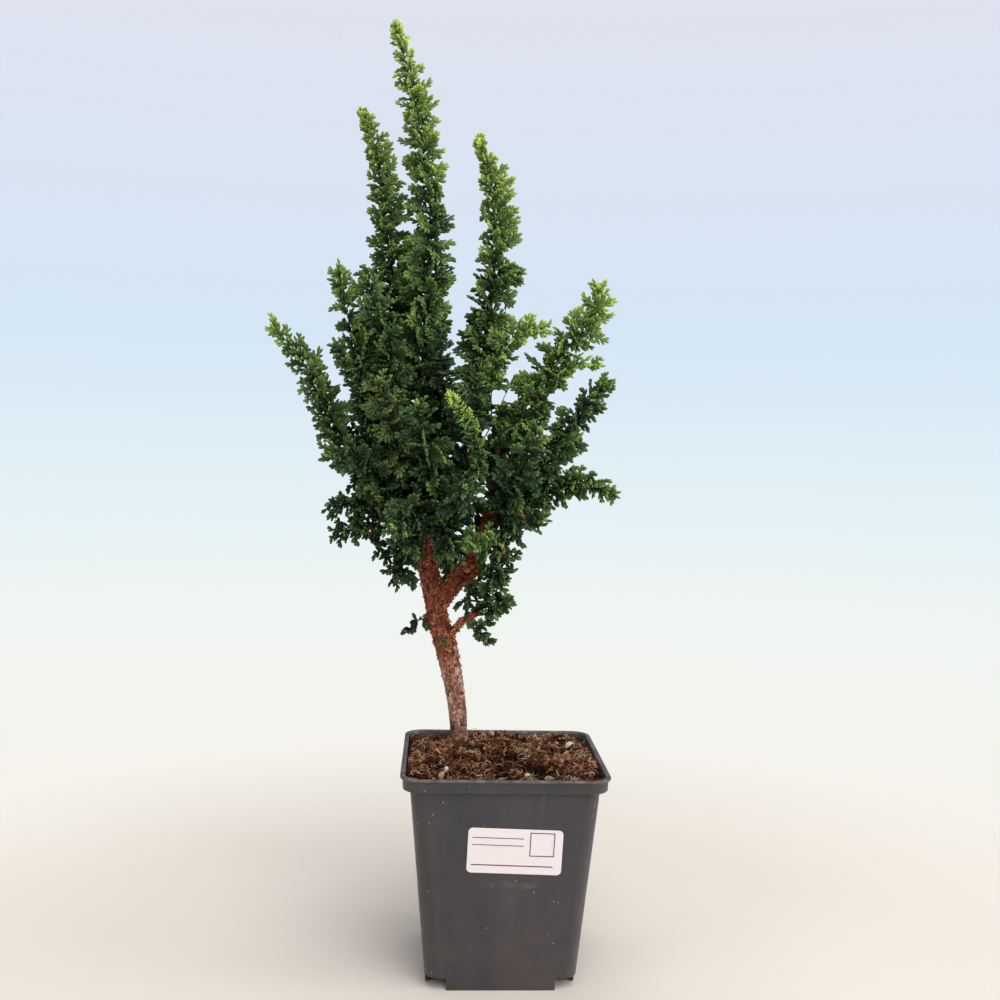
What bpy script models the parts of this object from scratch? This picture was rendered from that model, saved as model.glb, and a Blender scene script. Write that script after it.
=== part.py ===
"""Hinoki cypress bonsai, grown in a square nursery pot.

The pot stands on its four foot skirts and a cross rib, with its bottom centre at the origin, +Z up
and its labelled face towards -Y. The trunk stands in a plain hole in the soil. Every leafy shoot is
one solid: a slim stem with flattened five-fingered fans grown out of its sides.
"""

import math
import random

import bmesh
import bpy
import numpy as np
from mathutils import Matrix, Vector

MM = 0.001
UP = Vector((0.0, 0.0, 1.0))

# Clearance kept between solids that touch on the real plant
CONTACT_GAP = 0.3 * MM

# Colours
POT_GREY = (0.055, 0.053, 0.052)
LABEL_WHITE = (0.86, 0.87, 0.90)
SOIL_BROWN = (0.10, 0.055, 0.035)
BARK_BROWN = (0.27, 0.125, 0.075)
LEAF_GREEN = (0.05, 0.16, 0.045)

# Square pot, 9 x 9 x 9.5 cm
POT_HEIGHT = 95.0 * MM
LIP_HALF = 45.0 * MM
LIP_DEPTH = 1.0 * MM
BAND_HALF = 44.1 * MM
BAND_DEPTH = 4.8 * MM
BAND_DRAFT = 0.3 * MM
BODY_TOP_HALF = 40.7 * MM
BASE_HALF = 32.6 * MM
RIM_CORNER = 9.0 * MM
BASE_CORNER = 6.5 * MM
WALL = 1.1 * MM
CORNER_STEPS = 3

# Underside of the pot
FLOOR_UNDERSIDE = 5.5 * MM
FLOOR_THICKNESS = 1.2 * MM
SKIRT_HALF_WIDTH = 23.5 * MM
RIB_HALF = 2.0 * MM
DRAIN_RADIUS = 3.0 * MM
DRAIN_OFFSET = 17.0 * MM
DRAIN_SIDES = 10

# Label on the front wall
LABEL_WIDTH = 40.5 * MM
LABEL_HEIGHT = 20.0 * MM
LABEL_THICKNESS = 0.3 * MM
LABEL_CORNER = 2.0 * MM
LABEL_X = 4.4 * MM
LABEL_Z = 63.0 * MM
LABEL_TURN = math.radians(1.8)

# Soil and the hole that the trunk stands in
TRUNK_X = -19.0 * MM
TRUNK_Y = 22.0 * MM
HOLE_RADIUS = 4.9 * MM
HOLE_BOTTOM = 66.0 * MM
SOIL_LEVEL = 91.5 * MM
SOIL_FALL = 0.5 * MM
SOIL_MOUND = 2.0 * MM
MOUND_RADIUS = 24.0 * MM
SOIL_ROUGHNESS = 0.6 * MM
SOIL_ARC_STEPS = 2
SOIL_SIDE_STEPS = 6
SOIL_RINGS = 7
CRUMB_HEIGHT = 1.6 * MM
CRUMB_SHARE = 0.16

# Bark
BARK_ROUGHNESS = 0.07
FLAKE_START = 120.0 * MM
FLAKE_SHARE = 0.4
FLAKE_HEIGHT = 1.1 * MM

# Sides of the woody tubes, and the stubs between the limbs and the shoots
TRUNK_SIDES = 10
LIMB_SIDES = 6
STUB_SIDES = 4
STUB_LIMB_SHARE = 0.8
STUB_FOOT_SHARE = 1.5
STUB_RISE = 6.0 * MM
STUB_STEP = 7.0 * MM

# Fans of the leafy shoots
STEM_SIDES = 3
STEM_SWELL = 0.75
STEM_TAPER = 0.6
FAN_SPACING = 5.6 * MM
TIP_CROWDING = 0.25
FAN_LENGTH = 14.0 * MM
FAN_TAPER = 0.42
FAN_TRIES = 14
FAN_SHRINK = 0.86
FAN_SHORTEST = 0.42
LEAN_LEAST = 0.45
LEAN_MOST = 0.95
WANDER = 0.3
FAN_TWIST = 0.45
CURL_STEPS = (0.0, 0.18, 0.42)
TIP_SHARE = 0.3
GOLDEN_TURN = math.radians(137.5)
NODE_CLEARANCE = 0.45 * MM
OWN_CLEARANCE = 0.3 * MM
POINT_CLEARANCE = 0.8 * MM
ROD_MARGIN = 1.08
STEM_OWNER = 1000
STEM_NEAR = 6.5 * MM

# Fan of five fingers as shares of its length: where the two knuckles sit, how wide and thick they
# are, and how far forward and out the side fingers reach
KNUCKLES = ((0.34, 0.15, 0.075), (0.68, 0.13, 0.06))
FINGERS = ((0.56, 0.44), (0.90, 0.34))

# Trunk and limbs as (x, y, z, radius) in millimetres, from the soil outwards
LIMBS = {
    "trunk": [
        (-19, 22, 66.3, 4.3), (-19, 22, 80, 4.3), (-19, 22, 94, 4.2), (-19.6, 22, 104, 4.1),
        (-21, 22, 116, 4.5), (-24, 22, 131, 4.9), (-27, 22, 143, 5.2), (-30.4, 22, 154, 4.8),
        (-32.2, 21, 164, 4.7), (-35, 20, 176, 4.7), (-38, 20, 188, 4.8), (-40, 20, 201, 4.6),
        (-41, 20, 216, 4.2), (-41, 20, 232, 3.6), (-41, 20, 244, 3.2),
    ],
    "right_limb": [
        (-31, 22, 159, 4.0), (-25.5, 21, 167, 4.1), (-20, 19, 174.5, 4.6), (-14.5, 17, 180.5, 4.8),
        (-11, 16, 188, 3.7), (-8, 15, 199, 3.4), (-5, 15, 210, 3.0), (-2, 16, 220, 2.6),
    ],
    "low_twig": [
        (-26, 22, 143, 2.3), (-22, 19, 149, 1.8), (-18, 15, 154, 1.4), (-14, 11, 157.5, 1.3),
    ],
    "left_limb": [
        (-39, 20, 195, 2.6), (-46, 19, 204, 2.9), (-53, 17, 210, 2.6), (-60, 16, 214, 2.4),
    ],
    "back_limb": [
        (-39, 20, 190, 2.8), (-37, 29, 197, 3.0), (-36, 37, 205, 2.8), (-35, 42, 216, 2.5),
        (-34, 44, 228, 2.2),
    ],
    "front_limb": [
        (-40, 20, 199, 2.4), (-34, 11, 203, 2.6), (-28, 3, 208, 2.4), (-24, -2, 216, 2.1),
    ],
}

# Leafy shoots: the limb that carries each, the girth of its foot, the length of its fans as a share
# of the usual one, and the points of its stem from foot to tip, all in millimetres
SHOOTS = {
    "leader_centre": ("trunk", 2.6, 1.00, [
        (-41, 20, 250), (-39, 18, 289), (-37, 18, 321), (-38.5, 17, 349), (-44.5, 15, 386),
        (-49.5, 14, 406), (-55, 12, 424)]),
    "leader_left": ("trunk", 1.9, 0.85, [
        (-48, 26, 236), (-54, 30, 262), (-56, 31, 290), (-57, 30, 321), (-60, 29, 348),
        (-64, 28, 371), (-70, 27, 389)]),
    "leader_right": ("right_limb", 2.1, 1.00, [
        (-9, 20, 225), (-13, 24, 250), (-11, 25, 290), (-7, 24, 318), (-8, 23, 341),
        (-11, 22, 362), (-16, 21, 376)]),
    "spire_left": ("left_limb", 1.7, 0.95, [
        (-57, 12, 223), (-60, 7, 242), (-65, 4, 262), (-71, 1, 282), (-78, -2, 310)]),
    "spire_left_in": ("trunk", 1.6, 0.85, [
        (-45, 13, 236), (-50, 4, 254), (-57, -5, 284), (-65, -10, 309)]),
    "far_left": ("left_limb", 1.8, 0.85, [
        (-67, 18, 217), (-79, 18, 236), (-87.5, 17, 257), (-97, 15, 275), (-108, 14, 287)]),
    "side_left": ("left_limb", 1.4, 0.75, [
        (-63, 8, 228), (-65, 2, 248), (-70, -4, 264), (-78, -8, 278)]),
    "bulge_left": ("left_limb", 1.5, 0.95, [
        (-55, 8, 213), (-60, -2, 221), (-69, -9, 230), (-79, -13, 231)]),
    "arch_right": ("right_limb", 1.4, 0.75, [
        (-5, 9, 234), (-8, 8, 252), (-7, 7, 268), (-1, 3, 282), (6, 0, 288), (14, -4, 287)]),
    "spire_right": ("right_limb", 1.9, 1.00, [
        (1, 15, 227), (6, 13, 242), (14, 12, 260), (25, 10, 280), (35, 7, 290), (39, 6, 308)]),
    "tip_right": ("right_limb", 1.4, 0.75, [
        (8, 9, 229), (14, 5, 251), (22, -1, 266), (30, -5, 273), (38, -8, 272)]),
    "spire_right_low": ("right_limb", 1.6, 0.95, [
        (5, 8, 213), (12, 4, 222), (22, 0, 238), (33, -4, 253), (42, -5, 264.5)]),
    "tail_right": ("right_limb", 1.5, 0.90, [
        (2, 14, 202), (10, 11, 209), (22, 8, 215), (35, 4, 219.5), (47, 1, 215)]),
    "front_bright": ("front_limb", 1.6, 0.90, [
        (-20, -7, 215), (-15, -13, 222), (-14, -20, 232), (-19, -26, 245), (-27, -30, 256)]),
    "front_fan_low": ("right_limb", 1.4, 0.90, [
        (-7, 7, 190), (-10, -6, 192), (-18, -18, 193)]),
    "low_right_up": ("low_twig", 1.3, 0.90, [
        (-8, 11, 163), (-5, 7, 174), (-2, 2, 188)]),
    "low_right_out": ("low_twig", 1.2, 0.80, [
        (-10, 9, 158), (-4, 5, 160), (2, 2, 164)]),
    "low_right_down": ("low_twig", 1.1, 0.80, [
        (-13, 6, 154), (-11, 3, 151), (-8, 1, 147)]),
    "low_left_a": ("left_limb", 1.4, 0.90, [
        (-64, 10, 207), (-72, 5, 208), (-81, 2, 207)]),
    "low_left_b": ("left_limb", 1.4, 0.90, [
        (-55, 12, 200), (-66, 7, 197), (-77, 4, 194)]),
    "low_left_down": ("left_limb", 1.3, 0.85, [
        (-47, 14, 192), (-49, 10, 183), (-50, 6, 174)]),
    "front_left_fan": ("front_limb", 1.4, 0.90, [
        (-36, 0, 204), (-43, -12, 206), (-50, -25, 199)]),
    "front_centre": ("front_limb", 1.5, 0.95, [
        (-33, -3, 215), (-36, -12, 228), (-41, -22, 252)]),
    "front_left_up": ("front_limb", 1.5, 0.95, [
        (-42, 4, 214), (-48, -4, 232), (-53, -11, 248), (-58, -17, 262)]),
    "front_right": ("right_limb", 1.5, 0.95, [
        (-3, 7, 208), (1, -1, 215), (6, -10, 228), (12, -16, 242)]),
    "front_low_right": ("right_limb", 1.3, 0.90, [
        (-4, 9, 194), (6, 1, 199), (16, -6, 203)]),
    "centre_top": ("trunk", 1.5, 0.95, [
        (-33, 15, 238), (-30, 7, 254), (-31, -2, 270), (-33, -9, 288)]),
    "inner_front": ("front_limb", 1.4, 0.95, [
        (-23, 2, 224), (-20, -4, 240), (-17, -9, 256), (-14, -11, 270)]),
    "inner_low": ("front_limb", 1.3, 0.95, [
        (-29, -1, 201), (-27, -10, 195), (-25, -19, 187)]),
    "inner_low_left": ("trunk", 1.4, 0.95, [
        (-41, 10, 197), (-42, 0, 196), (-45, -12, 189)]),
    "inner_front_low": ("front_limb", 1.4, 0.95, [
        (-26, -5, 209), (-23, -15, 211), (-20, -27, 217)]),
    "inner_left": ("left_limb", 1.4, 0.95, [
        (-47, 11, 210), (-50, 2, 214), (-57, -9, 211)]),
    "inner_left_up": ("trunk", 1.5, 0.90, [
        (-49, 19, 228), (-55, 16, 246), (-60, 15, 268), (-63, 14, 288)]),
    "twig_left": ("trunk", 0.9, 0.60, [
        (-38, 23, 153.5), (-41, 22, 151), (-45, 19, 147)]),
    "crown_right_mid": ("right_limb", 1.6, 0.95, [
        (3, 22, 225), (9, 26, 243), (15, 24, 262), (21, 20, 280)]),
    "back_spire": ("back_limb", 1.7, 0.95, [
        (-34, 46, 235), (-36, 52, 264), (-38, 55, 294)]),
    "back_left": ("back_limb", 1.6, 0.95, [
        (-47, 38, 217), (-60, 46, 237), (-73, 52, 264)]),
    "back_right": ("back_limb", 1.6, 0.95, [
        (-22, 42, 222), (-9, 48, 240), (3, 54, 266)]),
    "back_low_left": ("back_limb", 1.4, 0.90, [
        (-46, 38, 203), (-59, 48, 208), (-72, 56, 208)]),
    "back_low": ("back_limb", 1.4, 0.90, [
        (-36, 46, 205), (-37, 57, 212), (-38, 68, 213)]),
    "back_low_right": ("back_limb", 1.4, 0.90, [
        (-24, 41, 202), (-11, 50, 207), (4, 57, 208)]),
    "back_fan_low": ("back_limb", 1.3, 0.90, [
        (-33, 38, 192), (-30, 48, 187), (-26, 55, 178)]),
    "back_mid": ("back_limb", 1.5, 0.90, [
        (-43, 46, 234), (-49, 53, 252), (-52, 58, 274)]),
    "back_top": ("trunk", 1.6, 0.95, [
        (-33, 30, 242), (-33, 39, 266), (-35, 41, 290), (-37, 42, 312)]),
    "right_back": ("right_limb", 1.5, 0.90, [
        (2, 25, 208), (12, 31, 217), (24, 35, 229), (34, 37, 242)]),
    "left_back": ("left_limb", 1.5, 0.90, [
        (-61, 26, 220), (-74, 33, 238), (-88, 36, 256)]),
}


def point(values):
    """A hand-chosen point in millimetres as a vector in metres."""
    return Vector(values[:3]) * MM


def clear_scene():
    for obj in list(bpy.data.objects):
        bpy.data.objects.remove(obj, do_unlink=True)


def material(name, colour, roughness):
    mat = bpy.data.materials.new(name)
    mat.use_nodes = True
    shader = mat.node_tree.nodes["Principled BSDF"]
    shader.inputs["Base Color"].default_value = (*colour, 1.0)
    shader.inputs["Roughness"].default_value = roughness
    shader.inputs["Metallic"].default_value = 0.0
    mat.diffuse_color = (*colour, 1.0)
    return mat


def add_object(name, bm, mat):
    """Turn a finished bmesh into an object whose faces point out."""
    bmesh.ops.recalc_face_normals(bm, faces=bm.faces)
    mesh = bpy.data.meshes.new(name)
    bm.to_mesh(mesh)
    bm.free()
    obj = bpy.data.objects.new(name, mesh)
    mesh.materials.append(mat)
    bpy.context.scene.collection.objects.link(obj)
    return obj


def apply_boolean(target, cutter_collection, operation):
    """Cut or join a whole collection at once, then remove the collection's objects."""
    modifier = target.modifiers.new("boolean", "BOOLEAN")
    modifier.operation = operation
    modifier.operand_type = "COLLECTION"
    modifier.collection = cutter_collection
    bpy.context.view_layer.update()
    depsgraph = bpy.context.evaluated_depsgraph_get()
    mesh = bpy.data.meshes.new_from_object(target.evaluated_get(depsgraph))
    target.modifiers.clear()
    target.data = mesh
    for obj in list(cutter_collection.objects):
        bpy.data.objects.remove(obj, do_unlink=True)
    bpy.data.collections.remove(cutter_collection)


def working_collection(name):
    collection = bpy.data.collections.new(name)
    bpy.context.scene.collection.children.link(collection)
    return collection


def rounded_square(half, corner, z, arc_steps=CORNER_STEPS, side_steps=1):
    """Points of a square outline with round corners, anticlockwise seen from above."""
    points = []
    for quarter in range(4):
        turn = Matrix.Rotation(math.radians(90 * quarter), 3, "Z")
        centre = Vector((half - corner, half - corner, z))
        for step in range(arc_steps):
            angle = math.radians(90 * step / arc_steps)
            points.append(turn @ (centre + Vector((math.cos(angle), math.sin(angle), 0.0)) * corner))
        for step in range(side_steps):
            x = (half - corner) * (1.0 - 2.0 * step / side_steps)
            points.append(turn @ Vector((x, half, z)))
    return points


def loft(bm, rings):
    """Join rings of equal length with quads and return the rings of vertices."""
    vert_rings = [[bm.verts.new(p) for p in ring] for ring in rings]
    for lower, upper in zip(vert_rings, vert_rings[1:]):
        count = len(lower)
        for i in range(count):
            j = (i + 1) % count
            bm.faces.new((lower[i], lower[j], upper[j], upper[i]))
    return vert_rings


def closed_loft(rings):
    bm = bmesh.new()
    vert_rings = loft(bm, rings)
    bm.faces.new(reversed(vert_rings[0]))
    bm.faces.new(vert_rings[-1])
    return bm


def body_half(z):
    """Half the outer width of the tapered body at height z."""
    body_top = POT_HEIGHT - LIP_DEPTH - BAND_DEPTH
    return BASE_HALF + (BODY_TOP_HALF - BASE_HALF) * z / body_top


def cutter_in(collection, bm):
    """A guide object that cuts the pot and is left out of the model."""
    mesh = bpy.data.meshes.new("cutter")
    bm.to_mesh(mesh)
    bm.free()
    cutter = bpy.data.objects.new("cutter", mesh)
    cutter.hide_render = True
    cutter.display_type = "WIRE"
    collection.objects.link(cutter)


def box_in(collection, low, high):
    bm = bmesh.new()
    bmesh.ops.create_cube(bm, size=1.0)
    for vert in bm.verts:
        for axis in range(3):
            middle = (low[axis] + high[axis]) / 2
            vert.co[axis] = middle + vert.co[axis] * (high[axis] - low[axis])
    cutter_in(collection, bm)


def drain_in(collection, x, y):
    bm = bmesh.new()
    bmesh.ops.create_cone(
        bm, cap_ends=True, segments=DRAIN_SIDES, radius1=DRAIN_RADIUS, radius2=DRAIN_RADIUS,
        depth=3 * (FLOOR_UNDERSIDE + FLOOR_THICKNESS), matrix=Matrix.Translation((x, y, 0.0)))
    cutter_in(collection, bm)


def make_pot():
    """One thin shell: body, step, band and lip, with the raised floor cut free below."""
    band_top = POT_HEIGHT - LIP_DEPTH
    band_bottom = band_top - BAND_DEPTH
    floor_top = FLOOR_UNDERSIDE + FLOOR_THICKNESS
    inner_corner = RIM_CORNER - WALL
    profile = [
        (BASE_HALF, BASE_CORNER, 0.0),
        (BODY_TOP_HALF, RIM_CORNER - 2 * WALL, band_bottom - WALL),
        (BAND_HALF - BAND_DRAFT, RIM_CORNER - WALL / 2, band_bottom),
        (BAND_HALF, RIM_CORNER - WALL / 2, band_top),
        (LIP_HALF, RIM_CORNER, band_top),
        (LIP_HALF, RIM_CORNER, POT_HEIGHT),
        (BAND_HALF - WALL, inner_corner, POT_HEIGHT),
        (BAND_HALF - WALL - BAND_DRAFT, inner_corner, band_bottom + WALL),
        (BODY_TOP_HALF - WALL, inner_corner - WALL, band_bottom),
        (body_half(floor_top) - WALL, BASE_CORNER - WALL, floor_top),
    ]
    bm = closed_loft([rounded_square(*row) for row in profile])
    pot = add_object("pot", bm, material("pot_plastic", POT_GREY, 0.45))

    cuts = working_collection("pot_cuts")
    below = -FLOOR_UNDERSIDE
    recess = body_half(0.0) - WALL
    outside = LIP_HALF
    for sx in (-1, 1):
        for sy in (-1, 1):
            near_x, far_x = sorted((sx * RIB_HALF, sx * recess))
            near_y, far_y = sorted((sy * RIB_HALF, sy * recess))
            box_in(cuts, (near_x, near_y, below), (far_x, far_y, FLOOR_UNDERSIDE))
            near_x, far_x = sorted((sx * SKIRT_HALF_WIDTH, sx * outside))
            near_y, far_y = sorted((sy * SKIRT_HALF_WIDTH, sy * outside))
            box_in(cuts, (near_x, near_y, below), (far_x, far_y, FLOOR_UNDERSIDE))
            drain_in(cuts, sx * DRAIN_OFFSET, sy * DRAIN_OFFSET)
    apply_boolean(pot, cuts, "DIFFERENCE")


def make_label():
    """Paper label, lying on the sloping front wall and turned slightly clockwise."""
    half_w = LABEL_WIDTH / 2
    half_h = LABEL_HEIGHT / 2
    outline = []
    for quarter in range(4):
        centre_x = (half_w - LABEL_CORNER) * (1 if quarter in (0, 3) else -1)
        centre_y = (half_h - LABEL_CORNER) * (1 if quarter in (0, 1) else -1)
        for step in range(4):
            angle = math.radians(90 * quarter + 30 * step)
            outline.append((centre_x + LABEL_CORNER * math.cos(angle),
                            centre_y + LABEL_CORNER * math.sin(angle)))
    slope = math.atan2(BODY_TOP_HALF - BASE_HALF, POT_HEIGHT - LIP_DEPTH - BAND_DEPTH - WALL)
    wall_y = -(BASE_HALF + math.tan(slope) * LABEL_Z)
    place = (
        Matrix.Translation((LABEL_X, wall_y, LABEL_Z))
        @ Matrix.Rotation(math.pi / 2 + slope, 4, "X")
        @ Matrix.Rotation(-LABEL_TURN, 4, "Z"))
    back = CONTACT_GAP
    front = CONTACT_GAP + LABEL_THICKNESS
    rings = [[place @ Vector((x, y, depth)) for x, y in outline] for depth in (back, front)]
    add_object("label", closed_loft(rings), material("label_paper", LABEL_WHITE, 0.6))


def soil_height(x, y, rng):
    """Height of the soil: a low heap round the trunk, falling towards the front."""
    distance = math.hypot(x - TRUNK_X, y - TRUNK_Y)
    mound = SOIL_MOUND * math.exp(-(distance / MOUND_RADIUS) ** 2)
    fall_to_front = SOIL_FALL * y / LIP_HALF
    return SOIL_LEVEL + mound + fall_to_front + rng.uniform(-SOIL_ROUGHNESS, SOIL_ROUGHNESS)


def make_soil():
    """Soil that fills the pot, rough on top, with the trunk's hole in it."""
    rng = random.Random(7)
    band_bottom = POT_HEIGHT - LIP_DEPTH - BAND_DEPTH
    floor_top = FLOOR_UNDERSIDE + FLOOR_THICKNESS
    inner_corner = RIM_CORNER - WALL
    side = [
        (body_half(floor_top) - WALL - 2 * CONTACT_GAP, BASE_CORNER - WALL, floor_top + CONTACT_GAP),
        (BODY_TOP_HALF - WALL - 2.5 * CONTACT_GAP, inner_corner - WALL, band_bottom - CONTACT_GAP),
        (BAND_HALF - WALL - 4 * CONTACT_GAP, inner_corner - WALL, band_bottom + WALL + 3 * CONTACT_GAP),
    ]
    rings = [rounded_square(*row, SOIL_ARC_STEPS, SOIL_SIDE_STEPS) for row in side]
    outline = rings[-1]
    trunk_foot = Vector((TRUNK_X, TRUNK_Y, HOLE_BOTTOM))
    hole = ring_points(trunk_foot, UP, Vector((1.0, 0.0, 0.0)), HOLE_RADIUS, len(outline))
    for ring_index in range(SOIL_RINGS):
        share = ring_index / (SOIL_RINGS - 1)
        ring = []
        for p, q in zip(outline, hole):
            x = p.x + (q.x - p.x) * share
            y = p.y + (q.y - p.y) * share
            ring.append(Vector((x, y, max(soil_height(x, y, rng), outline[0].z + CONTACT_GAP))))
        rings.append(ring)
    rings.append(hole)
    bm = closed_loft(rings)
    bm.normal_update()
    lowest = outline[0].z + CONTACT_GAP / 2
    top = [f for f in bm.faces if len(f.verts) == 4 and min(v.co.z for v in f.verts) > lowest]
    crumbs = [f for f in top if rng.random() < CRUMB_SHARE]
    for face in crumbs:
        spot = face.calc_center_median()
        poked = bmesh.ops.poke(bm, faces=[face])
        poked["verts"][0].co = spot + UP * rng.uniform(0.5, 1.0) * CRUMB_HEIGHT
    add_object("soil", bm, material("soil_peat", SOIL_BROWN, 0.95))


def smooth_curve(points, per_span=8):
    """Catmull-Rom curve through the given points."""
    padded = [points[0] * 2 - points[1], *points, points[-1] * 2 - points[-2]]
    curve = []
    for i in range(1, len(padded) - 2):
        p0, p1, p2, p3 = padded[i - 1:i + 3]
        for step in range(per_span):
            t = step / per_span
            curve.append(0.5 * (
                2 * p1 + (p2 - p0) * t + (2 * p0 - 5 * p1 + 4 * p2 - p3) * t * t
                + (3 * p1 - p0 - 3 * p2 + p3) * t * t * t))
    curve.append(points[-1].copy())
    return curve


def resample(curve, spacing):
    """Points along a curve, both ends kept, with steps that shorten towards its tip."""
    lengths = [0.0]
    for a, b in zip(curve, curve[1:]):
        lengths.append(lengths[-1] + (b - a).length)
    count = max(2, round(lengths[-1] / spacing))
    samples = []
    k = 0
    for i in range(count + 1):
        share = i / count
        target = lengths[-1] * share * (1.0 + TIP_CROWDING * (1.0 - share))
        while k < len(curve) - 2 and lengths[k + 1] < target:
            k += 1
        span = lengths[k + 1] - lengths[k]
        samples.append(curve[k].lerp(curve[k + 1], (target - lengths[k]) / span))
    return samples


def frames_along(samples, end_tangent=None):
    """Tangent and a side vector at each sample, turned as little as possible."""
    tangents = []
    for i in range(len(samples)):
        before = samples[max(0, i - 1)]
        after = samples[min(len(samples) - 1, i + 1)]
        tangents.append((after - before).normalized())
    if end_tangent:
        tangents[-1] = end_tangent
    side = tangents[0].orthogonal().normalized()
    frames = []
    for tangent in tangents:
        side = (side - tangent * side.dot(tangent)).normalized()
        frames.append((tangent, side))
    return frames


def ring_points(centre, tangent, side, radius, sides, turn=0.0):
    across = tangent.cross(side)
    points = []
    for k in range(sides):
        angle = turn + 2 * math.pi * k / sides
        points.append(centre + (side * math.cos(angle) + across * math.sin(angle)) * radius)
    return points


def tube(samples, radii, sides, rng, roughness, end_tangent=None):
    """Closed tube with flat ends and a slightly uneven skin."""
    rings = []
    for i, (centre, (tangent, side)) in enumerate(zip(samples, frames_along(samples, end_tangent))):
        ring = ring_points(centre, tangent, side, radii[i], sides)
        is_end = i in (0, len(samples) - 1)
        if not is_end:
            ring = [centre + (p - centre) * (1 + rng.uniform(-roughness, roughness)) for p in ring]
        rings.append(ring)
    return closed_loft(rings)


def raise_flakes(bm, rng):
    """Lift the middle of some faces of the upper bark, like loose flakes."""
    bm.normal_update()
    bark = [f for f in bm.faces if len(f.verts) == 4 and f.calc_center_median().z > FLAKE_START]
    for face in [f for f in bark if rng.random() < FLAKE_SHARE]:
        spot = face.calc_center_median() + face.normal * FLAKE_HEIGHT * rng.uniform(0.6, 1.0)
        poked = bmesh.ops.poke(bm, faces=[face])
        poked["verts"][0].co = spot


def limb_line(name):
    """Samples and radii along a limb."""
    rows = LIMBS[name]
    return [point(row) for row in rows], [row[3] * MM for row in rows]


def stub(name):
    """Short branch that carries a shoot: its line, its radii and the direction it ends in.

    It leaves the limb at the well-placed point nearest to the shoot's foot and ends square to
    the shoot's stem.
    """
    limb, girth = SHOOTS[name][:2]
    samples, radii = limb_line(limb)
    stem = shoot_stem(name)
    foot = stem[0]
    direction = (stem[1] - foot).normalized()
    best = min(range(len(samples) - 1), key=lambda i: (samples[i] + UP * STUB_RISE - foot).length)
    start = samples[best]
    reach = (foot - start).length
    foot_radius = stem_radius(girth, 0.0)
    thickest = min(radii[best] * STUB_LIMB_SHARE, foot_radius * STUB_FOOT_SHARE)
    line = []
    line_radii = []
    count = max(2, round(reach / STUB_STEP))
    for i in range(count + 1):
        t = i / count
        leave = t ** 3 - 2 * t ** 2 + t
        arrive = t ** 3 - t ** 2
        blend = 3 * t ** 2 - 2 * t ** 3
        line.append(start.lerp(foot, blend) + (foot - start) * leave + direction * reach * arrive)
        line_radii.append(thickest + (foot_radius - thickest) * t)
    return line, line_radii, direction


def stem_radius(girth, share):
    """Slim at the foot, fuller where the fans are longest, and thin at the tip."""
    swell = 1.0 + STEM_SWELL * math.sin(math.pi * min(1.0, 0.1 + share) ** 0.8)
    return girth * MM * swell * (1.0 - STEM_TAPER * share)


def shoot_stem(name):
    """Samples of a shoot's stem, one fan apart, from just past its stub to its tip."""
    fan_share, rows = SHOOTS[name][2:]
    curve = smooth_curve([point(row) for row in rows])
    return resample(curve, FAN_SPACING * (1.0 + fan_share) / 2)


def make_wood():
    """Trunk, limbs and stubs, joined into one solid, with flaking bark above the bare foot."""
    rng = random.Random(11)
    samples, radii = limb_line("trunk")
    bm = tube(samples, radii, TRUNK_SIDES, rng, BARK_ROUGHNESS)
    bmesh.ops.recalc_face_normals(bm, faces=bm.faces)
    raise_flakes(bm, rng)
    wood = add_object("wood", bm, material("bark", BARK_BROWN, 0.9))
    branches = working_collection("branches")

    def add_branch(line, line_radii, sides, end_tangent=None):
        bm = tube(line, line_radii, sides, rng, BARK_ROUGHNESS, end_tangent)
        branch = add_object("branch", bm, wood.data.materials[0])
        bpy.context.scene.collection.objects.unlink(branch)
        branches.objects.link(branch)

    for name in LIMBS:
        if name != "trunk":
            line, line_radii = limb_line(name)
            add_branch(line, line_radii, LIMB_SIDES)
    for name in SHOOTS:
        line, line_radii, direction = stub(name)
        add_branch(line, line_radii, STUB_SIDES, direction)
    apply_boolean(wood, branches, "UNION")


class Capsules:
    """Rods that stand for the solids already made, to keep new fans clear of them."""

    def __init__(self):
        self.starts = np.zeros((0, 3))
        self.ends = np.zeros((0, 3))
        self.radii = np.zeros(0)
        self.owners = np.zeros(0, dtype=int)

    def add(self, rods, owner):
        self.starts = np.vstack([self.starts, [rod[0][:] for rod in rods]])
        self.ends = np.vstack([self.ends, [rod[1][:] for rod in rods]])
        self.radii = np.concatenate([self.radii, [rod[2] for rod in rods]])
        self.owners = np.concatenate([self.owners, [owner] * len(rods)])

    def clearance(self, rods, chosen):
        """Least free space between some new rods and the chosen rods already here."""
        if not chosen.any():
            return math.inf
        starts, ends, radii = self.starts[chosen], self.ends[chosen], self.radii[chosen]
        least = math.inf
        for start, end, radius in rods:
            distance = rod_distance(np.array(start[:]), np.array(end[:]), starts, ends)
            least = min(least, float((distance - radii).min()) - radius)
        return least


def rod_distance(p, q, starts, ends):
    """Distance from the segment p-q to each of many segments."""
    d1 = q - p
    d2 = ends - starts
    r = p - starts
    a = max(float(d1 @ d1), 1e-12)
    e = np.maximum((d2 * d2).sum(1), 1e-12)
    f = (d2 * r).sum(1)
    c = r @ d1
    b = d2 @ d1
    denominator = np.maximum(a * e - b * b, 1e-18)
    s = np.clip((b * f - c * e) / denominator, 0.0, 1.0)
    t = np.clip((b * s + f) / e, 0.0, 1.0)
    s = np.clip((b * t - c) / a, 0.0, 1.0)
    gap = (p + s[:, None] * d1) - (starts + t[:, None] * d2)
    return np.sqrt((gap * gap).sum(1))


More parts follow.
